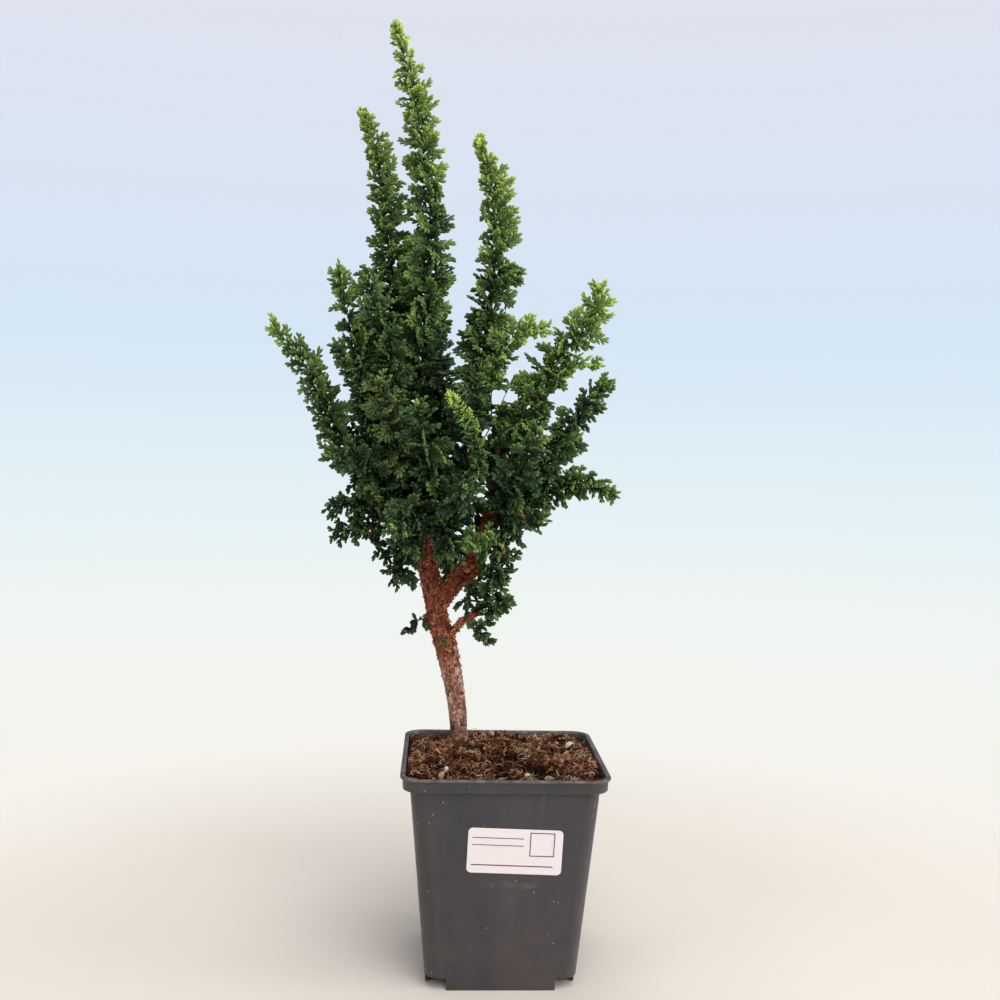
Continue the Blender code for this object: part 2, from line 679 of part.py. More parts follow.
def fan_shape(base, forward, flat, length, curl):
    """Knuckle centres, finger tips and directions of one fan.

    forward is where the fan points, flat is the direction in which it is wide, and curl is the
    direction that its end bends towards.
    """
    knuckles = []
    directions = [(forward + curl * share).normalized() for share in CURL_STEPS]
    place = base
    reached = 0.0
    for (share, half_width, half_depth), direction in zip(KNUCKLES, directions):
        place = place + direction * (share - reached) * length
        reached = share
        wide = (flat - direction * flat.dot(direction)).normalized()
        deep = direction.cross(wide)
        knuckles.append((place, wide * half_width * length, deep * half_depth * length, direction))
    tip = place + directions[2] * (1.0 - reached) * length
    sides = []
    for (along, out), (centre, wide, deep, direction), (share, _, _) in zip(FINGERS, knuckles, KNUCKLES):
        wide = wide.normalized()
        root = centre + direction * (along - share) * length
        sides.append((root + wide * out * length, root - wide * out * length))
    return knuckles, sides, tip


def fan_rods(base, knuckles, sides, tip, length):
    """Rods that enclose a fan: its spine in three pieces and its four side fingers."""
    spine = KNUCKLES[0][1] * length * 1.1
    rods = [
        (base.lerp(knuckles[0][0], 0.45), knuckles[0][0], spine),
        (knuckles[0][0], knuckles[1][0], spine),
        (knuckles[1][0], tip, spine * 0.62),
    ]
    middles = (base.lerp(knuckles[0][0], 0.55), knuckles[0][0].lerp(knuckles[1][0], 0.5))
    for middle, pair in zip(middles, sides):
        for finger in pair:
            rods.append((middle.lerp(finger, 0.25), finger, spine * 0.62))
    return rods


def grow_fan(bm, root, knuckles, sides, tip):
    """Build a fan on the four stem vertices in root, whose first two lie nearer the stem's foot."""
    previous = list(root)
    for (centre, wide, deep, _), pair in zip(knuckles, sides):
        corners = [centre - wide - deep, centre - wide + deep, centre + wide + deep, centre + wide - deep]
        ring = [bm.verts.new(p) for p in corners]
        for i in range(4):
            j = (i + 1) % 4
            quad = (previous[i], previous[j], ring[j], ring[i])
            if i == 0:
                add_finger(bm, quad, pair[1])
            elif i == 2:
                add_finger(bm, quad, pair[0])
            else:
                bm.faces.new(quad)
        previous = ring
    add_finger(bm, previous, tip)


def add_finger(bm, quad, apex):
    top = bm.verts.new(apex)
    for i in range(4):
        bm.faces.new((quad[i], quad[(i + 1) % 4], top))


def make_shoot(name, number, world, mat):
    """One leafy shoot: a slim stem whose side faces each carry one fan."""
    rng = random.Random(100 + number)
    girth, fan_share = SHOOTS[name][1:3]
    stem = shoot_stem(name)
    frames = frames_along(stem)
    last = len(stem) - 1
    bm = bmesh.new()
    rings = []
    for i, (centre, (tangent, side)) in enumerate(zip(stem, frames)):
        share = i / last
        radius = stem_radius(girth, share)
        turn = (GOLDEN_TURN - 2 * math.pi / STEM_SIDES) * i
        if i == 0:
            centre = centre + tangent * CONTACT_GAP
        ring = ring_points(centre, tangent, side, radius, STEM_SIDES, turn)
        rings.append([bm.verts.new(p) for p in ring])
    bm.faces.new(reversed(rings[0]))
    for i in range(last):
        share = (i + 0.5) / last
        tangent = (stem[i + 1] - stem[i]).normalized()
        chosen = i % STEM_SIDES
        for k in range(STEM_SIDES):
            j = (k + 1) % STEM_SIDES
            quad = (rings[i][k], rings[i][j], rings[i + 1][j], rings[i + 1][k])
            wants_fan = k == chosen and i > 0
            if not (wants_fan and place_fan(bm, quad, tangent, share, fan_share, number, world, rng)):
                bm.faces.new(quad)
    tip = stem[last] + frames[last][0] * FAN_LENGTH * fan_share * TIP_SHARE
    top = bm.verts.new(tip)
    for k in range(STEM_SIDES):
        bm.faces.new((rings[last][k], rings[last][(k + 1) % STEM_SIDES], top))
    bmesh.ops.triangulate(bm, faces=[f for f in bm.faces if len(f.verts) > 3])
    add_object(name, bm, mat)


def place_fan(bm, quad, tangent, share, fan_share, number, world, rng):
    """Try directions and lengths for a fan until it is clear of everything, or give up."""
    base = sum((v.co for v in quad), Vector()) / 4
    out = (quad[1].co - quad[0].co).cross(quad[3].co - quad[0].co).normalized()
    full = FAN_LENGTH * fan_share * (1.0 - FAN_TAPER * share ** 2) * rng.uniform(0.85, 1.1)
    length = full
    own_fans = world.owners == number
    own_stem = world.owners == number + STEM_OWNER
    others = ~own_fans & ~own_stem
    far = np.linalg.norm((world.starts + world.ends) / 2 - np.array(base[:]), axis=1) > STEM_NEAR
    own = own_fans | (own_stem & far)
    for attempt in range(FAN_TRIES):
        effort = attempt / FAN_TRIES
        lean = rng.uniform(LEAN_LEAST, LEAN_MOST) + effort * rng.random()
        wander = Vector([rng.uniform(-WANDER, WANDER) for _ in range(3)])
        forward = (out + tangent * lean + wander * (0.4 + effort)).normalized()
        if rng.random() < 0.5:
            flat = tangent
        else:
            flat = tangent.cross(out)
        flat = Matrix.Rotation(rng.uniform(-FAN_TWIST, FAN_TWIST), 3, forward) @ flat
        curl = (tangent + UP * 0.5).normalized()
        knuckles, sides, tip = fan_shape(base, forward, flat, length, curl)
        rods = fan_rods(base, knuckles, sides, tip, length)
        points = [(p, p, 0.0) for p in (tip, *sides[0], *sides[1])]
        if (world.clearance(rods, others) > NODE_CLEARANCE
                and world.clearance(rods, own) > OWN_CLEARANCE
                and world.clearance(points, own_stem) > POINT_CLEARANCE):
            root = ordered_root(quad, knuckles[0], base)
            grow_fan(bm, root, knuckles, sides, tip)
            world.add(rods, number)
            return True
        if attempt % 2:
            length = max(length * FAN_SHRINK, full * FAN_SHORTEST)
    return False


def ordered_root(quad, knuckle, base):
    """Root vertices in the order of a knuckle's corners, so that the fan leaves them untwisted."""
    centre, wide, deep, direction = knuckle
    corners = [-wide - deep, -wide + deep, wide + deep, wide - deep]
    offsets = [v.co - base for v in quad]
    best = None
    for order in range(4):
        for step in (1, -1):
            indices = [(order + step * k) % 4 for k in range(4)]
            score = sum(offsets[i].dot(c.normalized()) for i, c in zip(indices, corners))
            if best is None or score > best[0]:
                best = (score, indices)
    return [quad[i] for i in best[1]]


def blocked_space():
    """Rods for what is already there: the limbs, the stubs and the stems of all shoots."""
    world = Capsules()
    for name in LIMBS:
        line, radii = limb_line(name)
        rods = [(a, b, r * ROD_MARGIN) for a, b, r in zip(line, line[1:], radii)]
        world.add(rods, -1)
    for number, name in enumerate(SHOOTS):
        girth = SHOOTS[name][1]
        stem = shoot_stem(name)
        line, radii, direction = stub(name)
        world.add([(a, b, r * ROD_MARGIN) for a, b, r in zip(line[:-1], line[1:-1], radii)], -1)
        last = len(stem) - 1
        world.add([
            (stem[i], stem[i + 1], stem_radius(girth, i / last)) for i in range(last)],
            number + STEM_OWNER)
    return world


def main():
    clear_scene()
    make_pot()
    make_label()
    make_soil()
    make_wood()
    world = blocked_space()
    for number, name in enumerate(SHOOTS):
        green = material("leaf_" + name, LEAF_GREEN, 0.6)
        make_shoot(name, number, world, green)


main()
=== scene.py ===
"""Looks of the hinoki cypress bonsai: dense sprays of scale leaves, flaking bark, peat full of fibres
and a scuffed plastic pot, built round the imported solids. Lengths are in metres unless a name says mm.
"""

import itertools
import math
import random

import bmesh
import bpy
import numpy as np
from mathutils import Matrix, Vector


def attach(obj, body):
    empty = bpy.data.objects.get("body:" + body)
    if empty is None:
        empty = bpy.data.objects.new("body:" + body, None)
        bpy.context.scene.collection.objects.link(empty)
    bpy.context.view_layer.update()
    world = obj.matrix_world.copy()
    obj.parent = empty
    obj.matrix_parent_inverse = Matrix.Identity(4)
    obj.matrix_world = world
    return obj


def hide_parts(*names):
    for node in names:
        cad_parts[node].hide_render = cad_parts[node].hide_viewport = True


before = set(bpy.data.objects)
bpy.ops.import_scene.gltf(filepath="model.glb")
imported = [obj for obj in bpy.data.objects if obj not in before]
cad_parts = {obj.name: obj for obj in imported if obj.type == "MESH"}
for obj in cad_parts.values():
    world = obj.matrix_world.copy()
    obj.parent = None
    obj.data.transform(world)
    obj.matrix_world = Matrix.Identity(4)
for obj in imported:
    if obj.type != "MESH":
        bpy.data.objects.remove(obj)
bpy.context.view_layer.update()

MM = 0.001
UP = np.array((0.0, 0.0, 1.0))

# Square pot, as in the part's source
POT_HEIGHT = 95.0 * MM
LIP_HALF = 45.0 * MM
LIP_DEPTH = 1.0 * MM
BAND_HALF = 44.1 * MM
BAND_DEPTH = 4.8 * MM
BAND_DRAFT = 0.3 * MM
BODY_TOP_HALF = 40.7 * MM
BASE_HALF = 32.6 * MM
RIM_CORNER = 9.0 * MM
BASE_CORNER = 6.5 * MM
WALL = 1.1 * MM
BAND_TOP = POT_HEIGHT - LIP_DEPTH
BAND_BOTTOM = BAND_TOP - BAND_DEPTH
FLOOR_UNDERSIDE = 5.5 * MM
FLOOR_THICKNESS = 1.2 * MM
FLOOR_TOP = FLOOR_UNDERSIDE + FLOOR_THICKNESS
SKIRT_HALF_WIDTH = 23.5 * MM
RIB_HALF = 2.0 * MM
DRAIN_RADIUS = 3.0 * MM
DRAIN_OFFSET = 17.0 * MM
POT_CORNER_STEPS = 9
POT_EDGE = 0.22 * MM

# Label on the front wall
LABEL_WIDTH = 40.5 * MM
LABEL_HEIGHT = 20.0 * MM
LABEL_THICKNESS = 0.22 * MM
LABEL_CORNER = 2.0 * MM
LABEL_CORNER_STEPS = 8
LABEL_X = 4.4 * MM
LABEL_Z = 63.0 * MM
LABEL_TURN = math.radians(1.8)
PRINT_RISE = 0.03 * MM

# Ruled lines of the label and the sides of its empty frame, as (x0, y0, x1, y1) in millimetres
LABEL_BARS = [
    (-18.4, 5.6, 3.6, 5.96), (-18.4, 2.4, 3.6, 2.76), (-18.4, -6.6, 16.5, -6.1), (6.2, -1.9, 16.8, -1.48),
    (6.2, 8.28, 16.8, 8.7), (6.2, -1.48, 6.62, 8.28), (16.38, -1.48, 16.8, 8.28),
]

# Soil
TRUNK_X = -19.0 * MM
TRUNK_Y = 22.0 * MM
SOIL_GAP = 0.3 * MM
SOIL_LEVEL = 91.5 * MM
SOIL_FALL = 0.5 * MM
SOIL_MOUND = 2.0 * MM
MOUND_RADIUS = 22.0 * MM
HEAP_RADIUS = 6.5 * MM
SOIL_CELLS = 140
RELIEF_RANGE = 5.5 * MM
SPOTS_REACH = 41.0 * MM
FIBRES = 3600
FIBRE_SEGMENTS = 5
FIBRE_REACH = 42.0 * MM
FIBRE_RISE = 1.7 * MM
CRUMBS = 950
BLADES_IN_CLUMP = 46

# Tufts of peat as (x, y, rise), and pale grains, wood chips and clumps of moss as (x, y, radius)
HEAPS = np.array([
    (29, 33, 2.0), (34, 15, 2.2), (35, -10, 2.0), (8, 36, 1.6), (-10, 33, 1.5), (-36, 30, 1.4),
    (20, 8, -1.2),
]) * MM
GRAINS = np.array([
    (-3.2, 36.9, 1.4), (18.4, 37.8, 1.4), (33.6, 19.2, 2.2), (31.2, 12, 1.3), (19.4, -26, 1.7),
    (17.3, -19.5, 1.2), (9.9, -24.6, 1.5), (-27.6, -27.3, 1.6), (-25.4, -24.1, 1.2), (31.3, -28.6, 1.2),
    (7.4, -10, 0.6), (12.9, 3.9, 0.6), (-7, 14, 0.9), (-5.8, 19.5, 0.8), (2, -3, 0.5), (-12, -8, 0.6),
    (24, -14, 0.8), (36, -2, 1.0), (28, 28, 0.9), (-36, 30, 0.9),
]) * MM
CHIPS = np.array([
    (-29.4, 5.9, 2.2), (21.1, 7.7, 1.5), (27, -5, 1.2), (-33, 22, 1.4), (5, 30, 1.2), (-20, -20, 1.1),
]) * MM
MOSS = np.array([
    (-17.9, 8.1, 2.6), (-14, 6, 1.8), (4.8, 14.4, 3.0), (9, 14, 2.0), (13.1, 12.9, 1.6), (35, 38, 2.2),
    (14, -29, 2.0), (11, -24, 1.0),
]) * MM

# Stems of the shoots, and the stubs that carry them, as in the part's source
FAN_SPACING = 5.6 * MM
STUB_LIMB_SHARE = 0.8
STUB_FOOT_SHARE = 1.5
STUB_RISE = 6.0 * MM
STUB_STEPS = 8
STUB_SLIMMING = 0.75
STEM_SWELL = 0.75
STEM_TAPER = 0.6

# Bark
BARK_VOXEL = 0.72 * MM
FLAKES_PER_MM = 20
FLAKES_FROM = 96.0 * MM
FLAKE_SHARES = {
    "trunk": 1.0, "right_limb": 1.2, "low_twig": 0.7, "left_limb": 0.4, "front_limb": 0.4, "back_limb": 0.4}
TUFT_SPRIGS = 20

# Sprays of scale leaves
GOLDEN_TURN = math.radians(137.5)
SPRAY_SPACING = 1.2 * MM
SPRAY_LENGTH = 14.2 * MM
FINGER_SPACING = 1.95 * MM
STUB_SPRAYS_FROM = 190.0 * MM
FINGER = ((0.0, 0.45, 0.82), (0.62, 1.0, 0.80))
TWIG_SHARE = 0.27
# Direction of the lit side: sprays that face it get a lighter tone, as painted light
LIGHT_SIDE = (0.55, -0.5, 0.5)
THICKET_SPRAYS = 3
TIP_FINGERS = 6

# Trunk and limbs as (x, y, z, radius) in millimetres, from the soil outwards
LIMBS = {
    "trunk": [
        (-19, 22, 66.3, 4.3), (-19, 22, 80, 4.3), (-19, 22, 94, 4.2), (-19.6, 22, 104, 4.1),
        (-21, 22, 116, 4.5), (-24, 22, 131, 4.9), (-27, 22, 143, 5.2), (-30.4, 22, 154, 4.8),
        (-32.2, 21, 164, 4.7), (-35, 20, 176, 4.7), (-38, 20, 188, 4.8), (-40, 20, 201, 4.6),
        (-41, 20, 216, 4.2), (-41, 20, 232, 3.6), (-41, 20, 244, 3.2),
    ],
    "right_limb": [
        (-31, 22, 159, 4.0), (-25.5, 21, 167, 4.1), (-20, 19, 174.5, 4.6), (-14.5, 17, 180.5, 4.8),
        (-11, 16, 188, 3.7), (-8, 15, 199, 3.4), (-5, 15, 210, 3.0), (-2, 16, 220, 2.6),
    ],
    "low_twig": [
        (-26, 22, 143, 2.3), (-22, 19, 149, 1.8), (-18, 15, 154, 1.4), (-14, 11, 157.5, 1.3),
    ],
    "left_limb": [
        (-39, 20, 195, 2.6), (-46, 19, 204, 2.9), (-53, 17, 210, 2.6), (-60, 16, 214, 2.4),
    ],
    "back_limb": [
        (-39, 20, 190, 2.8), (-37, 29, 197, 3.0), (-36, 37, 205, 2.8), (-35, 42, 216, 2.5),
        (-34, 44, 228, 2.2),
    ],
    "front_limb": [
        (-40, 20, 199, 2.4), (-34, 11, 203, 2.6), (-28, 3, 208, 2.4), (-24, -2, 216, 2.1),
    ],
}

# Leafy shoots: the limb that carries each, the girth of its foot, the length of its fans as a share
# of the usual one, and the points of its stem from foot to tip, all in millimetres
SHOOTS = {
    "leader_centre": ("trunk", 2.6, 1.00, [
        (-41, 20, 250), (-39, 18, 289), (-37, 18, 321), (-38.5, 17, 349), (-44.5, 15, 386),
        (-49.5, 14, 406), (-55, 12, 424)]),
    "leader_left": ("trunk", 1.9, 0.85, [
        (-48, 26, 236), (-54, 30, 262), (-56, 31, 290), (-57, 30, 321), (-60, 29, 348),
        (-64, 28, 371), (-70, 27, 389)]),
    "leader_right": ("right_limb", 2.1, 1.00, [
        (-9, 20, 225), (-13, 24, 250), (-11, 25, 290), (-7, 24, 318), (-8, 23, 341),
        (-11, 22, 362), (-16, 21, 376)]),
    "spire_left": ("left_limb", 1.7, 0.95, [
        (-57, 12, 223), (-60, 7, 242), (-65, 4, 262), (-71, 1, 282), (-78, -2, 310)]),
    "spire_left_in": ("trunk", 1.6, 0.85, [(-45, 13, 236), (-50, 4, 254), (-57, -5, 284), (-65, -10, 309)]),
    "far_left": ("left_limb", 1.8, 0.85, [
        (-67, 18, 217), (-79, 18, 236), (-87.5, 17, 257), (-97, 15, 275), (-108, 14, 287)]),
    "side_left": ("left_limb", 1.4, 0.75, [(-63, 8, 228), (-65, 2, 248), (-70, -4, 264), (-78, -8, 278)]),
    "bulge_left": ("left_limb", 1.5, 0.95, [
        (-55, 8, 213), (-60, -2, 221), (-69, -9, 230), (-79, -13, 231)]),
    "arch_right": ("right_limb", 1.4, 0.75, [
        (-5, 9, 234), (-8, 8, 252), (-7, 7, 268), (-1, 3, 282), (6, 0, 288), (14, -4, 287)]),
    "spire_right": ("right_limb", 1.9, 1.00, [
        (1, 15, 227), (6, 13, 242), (14, 12, 260), (25, 10, 280), (35, 7, 290), (39, 6, 308)]),
    "tip_right": ("right_limb", 1.4, 0.75, [
        (8, 9, 229), (14, 5, 251), (22, -1, 266), (30, -5, 273), (38, -8, 272)]),
    "spire_right_low": ("right_limb", 1.6, 0.95, [
        (5, 8, 213), (12, 4, 222), (22, 0, 238), (33, -4, 253), (42, -5, 264.5)]),
    "tail_right": ("right_limb", 1.5, 0.90, [
        (2, 14, 202), (10, 11, 209), (22, 8, 215), (35, 4, 219.5), (47, 1, 215)]),
    "front_bright": ("front_limb", 1.6, 0.90, [
        (-20, -7, 215), (-15, -13, 222), (-14, -20, 232), (-19, -26, 245), (-27, -30, 256)]),
    "front_fan_low": ("right_limb", 1.4, 0.90, [(-7, 7, 190), (-10, -6, 192), (-18, -18, 193)]),
    "low_right_up": ("low_twig", 1.3, 0.90, [(-8, 11, 163), (-5, 7, 174), (-2, 2, 188)]),
    "low_right_out": ("low_twig", 1.2, 0.80, [(-10, 9, 158), (-4, 5, 160), (2, 2, 164)]),
    "low_right_down": ("low_twig", 1.1, 0.80, [(-13, 6, 154), (-11, 3, 151), (-8, 1, 147)]),
    "low_left_a": ("left_limb", 1.4, 0.90, [(-64, 10, 207), (-72, 5, 208), (-81, 2, 207)]),
    "low_left_b": ("left_limb", 1.4, 0.90, [(-55, 12, 200), (-66, 7, 197), (-77, 4, 194)]),
    "low_left_down": ("left_limb", 1.3, 0.85, [(-47, 14, 192), (-49, 10, 183), (-50, 6, 174)]),
    "front_left_fan": ("front_limb", 1.4, 0.90, [(-36, 0, 204), (-43, -12, 206), (-50, -25, 199)]),
    "front_centre": ("front_limb", 1.5, 0.95, [(-33, -3, 215), (-36, -12, 228), (-41, -22, 252)]),
    "front_left_up": ("front_limb", 1.5, 0.95, [
        (-42, 4, 214), (-48, -4, 232), (-53, -11, 248), (-58, -17, 262)]),
    "front_right": ("right_limb", 1.5, 0.95, [(-3, 7, 208), (1, -1, 215), (6, -10, 228), (12, -16, 242)]),
    "front_low_right": ("right_limb", 1.3, 0.90, [(-4, 9, 194), (6, 1, 199), (16, -6, 203)]),
    "centre_top": ("trunk", 1.5, 0.95, [(-33, 15, 238), (-30, 7, 254), (-31, -2, 270), (-33, -9, 288)]),
    "inner_front": ("front_limb", 1.4, 0.95, [
        (-23, 2, 224), (-20, -4, 240), (-17, -9, 256), (-14, -11, 270)]),
    "inner_low": ("front_limb", 1.3, 0.95, [(-29, -1, 201), (-27, -10, 195), (-25, -19, 187)]),
    "inner_low_left": ("trunk", 1.4, 0.95, [(-41, 10, 197), (-42, 0, 196), (-45, -12, 189)]),
    "inner_front_low": ("front_limb", 1.4, 0.95, [(-26, -5, 209), (-23, -15, 211), (-20, -27, 217)]),
    "inner_left": ("left_limb", 1.4, 0.95, [(-47, 11, 210), (-50, 2, 214), (-57, -9, 211)]),
    "inner_left_up": ("trunk", 1.5, 0.90, [(-49, 19, 228), (-55, 16, 246), (-60, 15, 268), (-63, 14, 288)]),
    "twig_left": ("trunk", 0.9, 0.60, [(-38, 23, 153.5), (-41, 22, 151), (-45, 19, 147)]),
    "crown_right_mid": ("right_limb", 1.6, 0.95, [
        (3, 22, 225), (9, 26, 243), (15, 24, 262), (21, 20, 280)]),
    "back_spire": ("back_limb", 1.7, 0.95, [(-34, 46, 235), (-36, 52, 264), (-38, 55, 294)]),
    "back_left": ("back_limb", 1.6, 0.95, [(-47, 38, 217), (-60, 46, 237), (-73, 52, 264)]),
    "back_right": ("back_limb", 1.6, 0.95, [(-22, 42, 222), (-9, 48, 240), (3, 54, 266)]),
    "back_low_left": ("back_limb", 1.4, 0.90, [(-46, 38, 203), (-59, 48, 208), (-72, 56, 208)]),
    "back_low": ("back_limb", 1.4, 0.90, [(-36, 46, 205), (-37, 57, 212), (-38, 68, 213)]),
    "back_low_right": ("back_limb", 1.4, 0.90, [(-24, 41, 202), (-11, 50, 207), (4, 57, 208)]),
    "back_fan_low": ("back_limb", 1.3, 0.90, [(-33, 38, 192), (-30, 48, 187), (-26, 55, 178)]),
    "back_mid": ("back_limb", 1.5, 0.90, [(-43, 46, 234), (-49, 53, 252), (-52, 58, 274)]),
    "back_top": ("trunk", 1.6, 0.95, [(-33, 30, 242), (-33, 39, 266), (-35, 41, 290), (-37, 42, 312)]),
    "right_back": ("right_limb", 1.5, 0.90, [(2, 25, 208), (12, 31, 217), (24, 35, 229), (34, 37, 242)]),
    "left_back": ("left_limb", 1.5, 0.90, [(-61, 26, 220), (-74, 33, 238), (-88, 36, 256)]),
}

# Knobs of old bark as (x, y, z, radius), and the tuft that grows from the trunk, in millimetres
KNOBS = np.array([
    (-12.3, 12.0, 177.0, 1.9), (-14.6, 11.4, 175.0, 1.7), (-15.6, 12.2, 172.0, 1.7),
    (-13.0, 12.6, 172.6, 1.5), (-16.8, 11.8, 177.6, 1.4), (-17.6, 13.2, 170.8, 1.4),
    (-15.0, 13.4, 169.4, 1.2), (-11.2, 13.2, 174.0, 1.3), (-14.6, 11.2, 179.6, 1.5),
    (-19.5, 14.5, 172.4, 1.2), (-17.4, 12.2, 174.2, 1.3), (-27, 16.6, 160, 1.1), (-24.6, 17.4, 150, 1.0),
    (-25.0, 17.6, 139, 0.9),
]) * MM
TUFT = (-27.3, 16.5, 144.0)

# Shoots that are not of the usual green: tone added to all their leaves, tone added towards the
# tip, and the share of brown in their leaves
LOOKS = {
    "leader_centre": (0.06, 0.44, 0), "leader_left": (0.04, 0.38, 0), "leader_right": (0.07, 0.36, 0),
    "far_left": (0.05, 0.34, 0), "spire_left": (0.04, 0.22, 0), "arch_right": (0.15, 0.30, 0),
    "spire_right": (0.12, 0.32, 0), "tip_right": (0.13, 0.28, 0), "tail_right": (0.03, 0.16, 0),
    "front_bright": (0.04, 0.50, 0), "front_fan_low": (0.11, 0.22, 0), "front_left_up": (0.02, 0.08, 0.05),
    "inner_left_up": (0.02, 0.08, 0.03), "low_left_a": (-0.05, 0.05, 0), "low_left_b": (-0.06, 0.05, 0),
    "back_left": (0, 0.16, 0), "back_right": (0, 0.16, 0), "back_spire": (0, 0.16, 0),
    "low_left_down": (-0.06, 0.02, 0), "low_right_up": (-0.01, 0.08, 0), "low_right_out": (-0.03, 0.06, 0),
    "low_right_down": (-0.04, 0.04, 0), "twig_left": (-0.06, 0.02, 0),
}
USUAL_LOOK = (-0.05, 0.17, 0.0)

# Shoots with finer fingers than usual
FINE = {"front_bright": 0.64, "tip_right": 0.88, "spire_right": 0.92, "far_left": 0.92}
# Shoots deep in the crown, with sprays spaced wider and darkened as painted shade
INNER = ("inner", "back_low", "back_fan", "centre_top", "back_mid")
UPRIGHT = ("leader", "spire", "far", "tip", "arch")

# Spacing and length of the sprays of some shoots, as shares of the usual ones, how much longer they
# are on the side of +x at the foot and at the tip, and on the side of +z
HABITS = {
    "leader_centre": (0.78, 1.09, -0.26, 0.22, 0), "leader_left": (0.77, 1.24, -0.18, 0.40, 0),
    "leader_right": (0.79, 1.12, -0.12, 0.45, 0), "far_left": (0.90, 1, 0.20, 0.25, 0.15),
    "side_left": (1, 0.82, 0.35, 0, 0.45), "spire_left": (0.88, 0.98, 0.35, 0.30, 0),
    "spire_left_in": (0.90, 1.08, 0, -0.10, 0), "arch_right": (0.88, 1.02, 0, 0, 0.45),
    "spire_right": (0.88, 1.05, -0.10, 0.35, 0.40), "tip_right": (1.15, 0.60, -0.10, -0.10, 0.60),
    "spire_right_low": (0.74, 0.93, 0.18, -0.10, -0.15), "crown_right_mid": (1.6, 0.80, 0, 0, 0),
    "right_back": (1.5, 0.70, 0, 0, 0), "centre_top": (1, 0.80, -0.20, -0.20, 0),
    "back_top": (1, 0.88, -0.10, -0.10, 0), "back_fan_low": (0.60, 1, 0, 0, 0),
    "low_right_up": (0.80, 1, -0.10, 0.30, 0), "low_right_out": (0.90, 0.62, -0.30, -0.30, 0.20),
    "low_right_down": (1, 0.55, 0.10, 0.10, 0.60), "low_left_a": (0.90, 0.74, 0.15, 0.15, -0.35),
    "low_left_b": (0.90, 0.80, 0.15, 0.15, 0.20), "low_left_down": (0.95, 1, 0.30, 0.30, 0.10),
    "twig_left": (3.4, 0.42, 0, 0, -0.40), "front_bright": (0.55, 0.36, 0, 0, 0),
    "front_fan_low": (1, 0.80, 0, 0, 0), "front_low_right": (1, 0.85, 0, -0.20, 0),
    "tail_right": (0.58, 0.80, 0, -0.20, 0), "back_spire": (1.10, 1, 0, 0, 0),
    "back_left": (1.10, 1, 0, 0, 0), "back_right": (1.9, 0.66, 0, 0, 0), "left_back": (1.15, 0.88, 0, 0, 0),
}
USUAL_HABIT = (1.0, 1.0, 0.0, 0.0, 0.0)

# Where a shoot has more sprays, on twigs from its stem, as (x, y, z) in millimetres
THICKETS = {
    "back_fan_low": [(-25, 35, 180), (-28, 35, 184), (-21, 35, 182), (-24, 31, 175.5), (-20.5, 31, 187),
        (-16.5, 31, 185)],
    "low_right_up": [(-18.5, 10, 164), (-16, 9, 168), (-13, 9, 171), (-10, 8, 160), (3, 4, 184),
        (3.5, 4, 178.5)],
    "low_left_b": [(-59, 6, 190), (-57, 6, 187.5), (-62, 7, 192)],
    "front_right": [(-13, 15, 204), (-9, 12, 206), (-2, 5, 222), (-3, 8, 229)],
    "inner_low": [(-26, 2, 198), (-23, 0, 194)],
    "front_centre": [(-31, -2, 226), (-29, -1, 232)],
}

# Places of withered sprigs as (x, y, z, radius)
WITHERED = np.array([
    (9, -3, 201, 3.2), (14, -6, 203, 2.8), (-2, 0, 187, 3.2), (-31, 2, 192, 3.0)]) * MM

# The photograph's viewpoint, and gaps in the foliage as (x, z, radius), where its line of sight
# through them crosses the upright plane of the trunk
EYE = np.array((-0.030528, -0.526328, 0.232301))
SKY_GAPS = np.array([
    (-5.6, 256.5, 3.6), (0.2, 257.2, 3.2), (-7.6, 250.1, 2.4), (-9.5, 241.5, 3.0), (2.1, 229.6, 2.4),
    (5.4, 224.7, 1.6), (21.4, 257.6, 4.2), (-77.6, 262.7, 3.6), (-73.6, 257.9, 3.0), (-43.5, 254.2, 1.8),
    (-1.1, 267.8, 3.0), (-50.0, 355.4, 3.0), (-30.6, 343.3, 2.6), (-48.7, 337.8, 1.8), (9.3, 195.3, 2.6),
    (-77.7, 290.8, 3.0), (-4.0, 296.5, 2.2), (-81.6, 207.9, 2.0), (-72.9, 219.4, 2.2), (8.5, 232.5, 1.8),
    (12.4, 240.5, 1.6),
]) * MM

# Backdrop colours by the height of the direction in which one looks, from -1 to 1
BACKDROP = [
    (-0.43, 0.93, 0.84, 0.76), (-0.30, 0.93, 0.89, 0.82), (-0.13, 0.87, 0.91, 0.89),
    (-0.05, 0.78, 0.885, 0.92), (0.10, 0.665, 0.79, 0.92), (0.36, 0.74, 0.76, 0.86),
]

# Lights: place, diameter, power and colour
LIGHTS = {
    "key": ((0.40, -1.15, 1.40), 1.7, 30.5, (1.0, 0.985, 0.955)),
    "fill": ((-1.2, -0.9, 0.7), 1.0, 4.2, (0.97, 0.98, 1.0)),
    "top": ((-0.1, 0.25, 1.5), 0.9, 8.0, (1.0, 0.99, 0.97)),
    "side": ((1.3, -0.30, 0.35), 0.6, 10.0, (1.0, 0.99, 0.97)),
}
LIGHTS_AIM = (-0.02, 0.0, 0.2)

# Camera fitted to the photograph: yaw, pitch and roll in degrees, and lens for a sensor of 36 mm
CAMERA_ANGLES = (2.953, 2.323, -1.309)
CAMERA_LENS = 41.937


# Vectors, curves and noise

def clipped(value):
    return min(1.0, max(0.0, value))


def scatter(rng):
    """A vector of three normal draws."""
    return np.array([rng.gauss(0, 1) for _ in range(3)])


def unit(v):
    return v / np.linalg.norm(v)


def square_to(v, axis):
    """The part of v that is square to a unit axis, at unit length."""
    return unit(v - axis * np.dot(v, axis))


def turned(v, axis, angle):
    """v turned about a unit axis."""
    return (v * math.cos(angle) + np.cross(axis, v) * math.sin(angle)
            + axis * np.dot(axis, v) * (1.0 - math.cos(angle)))


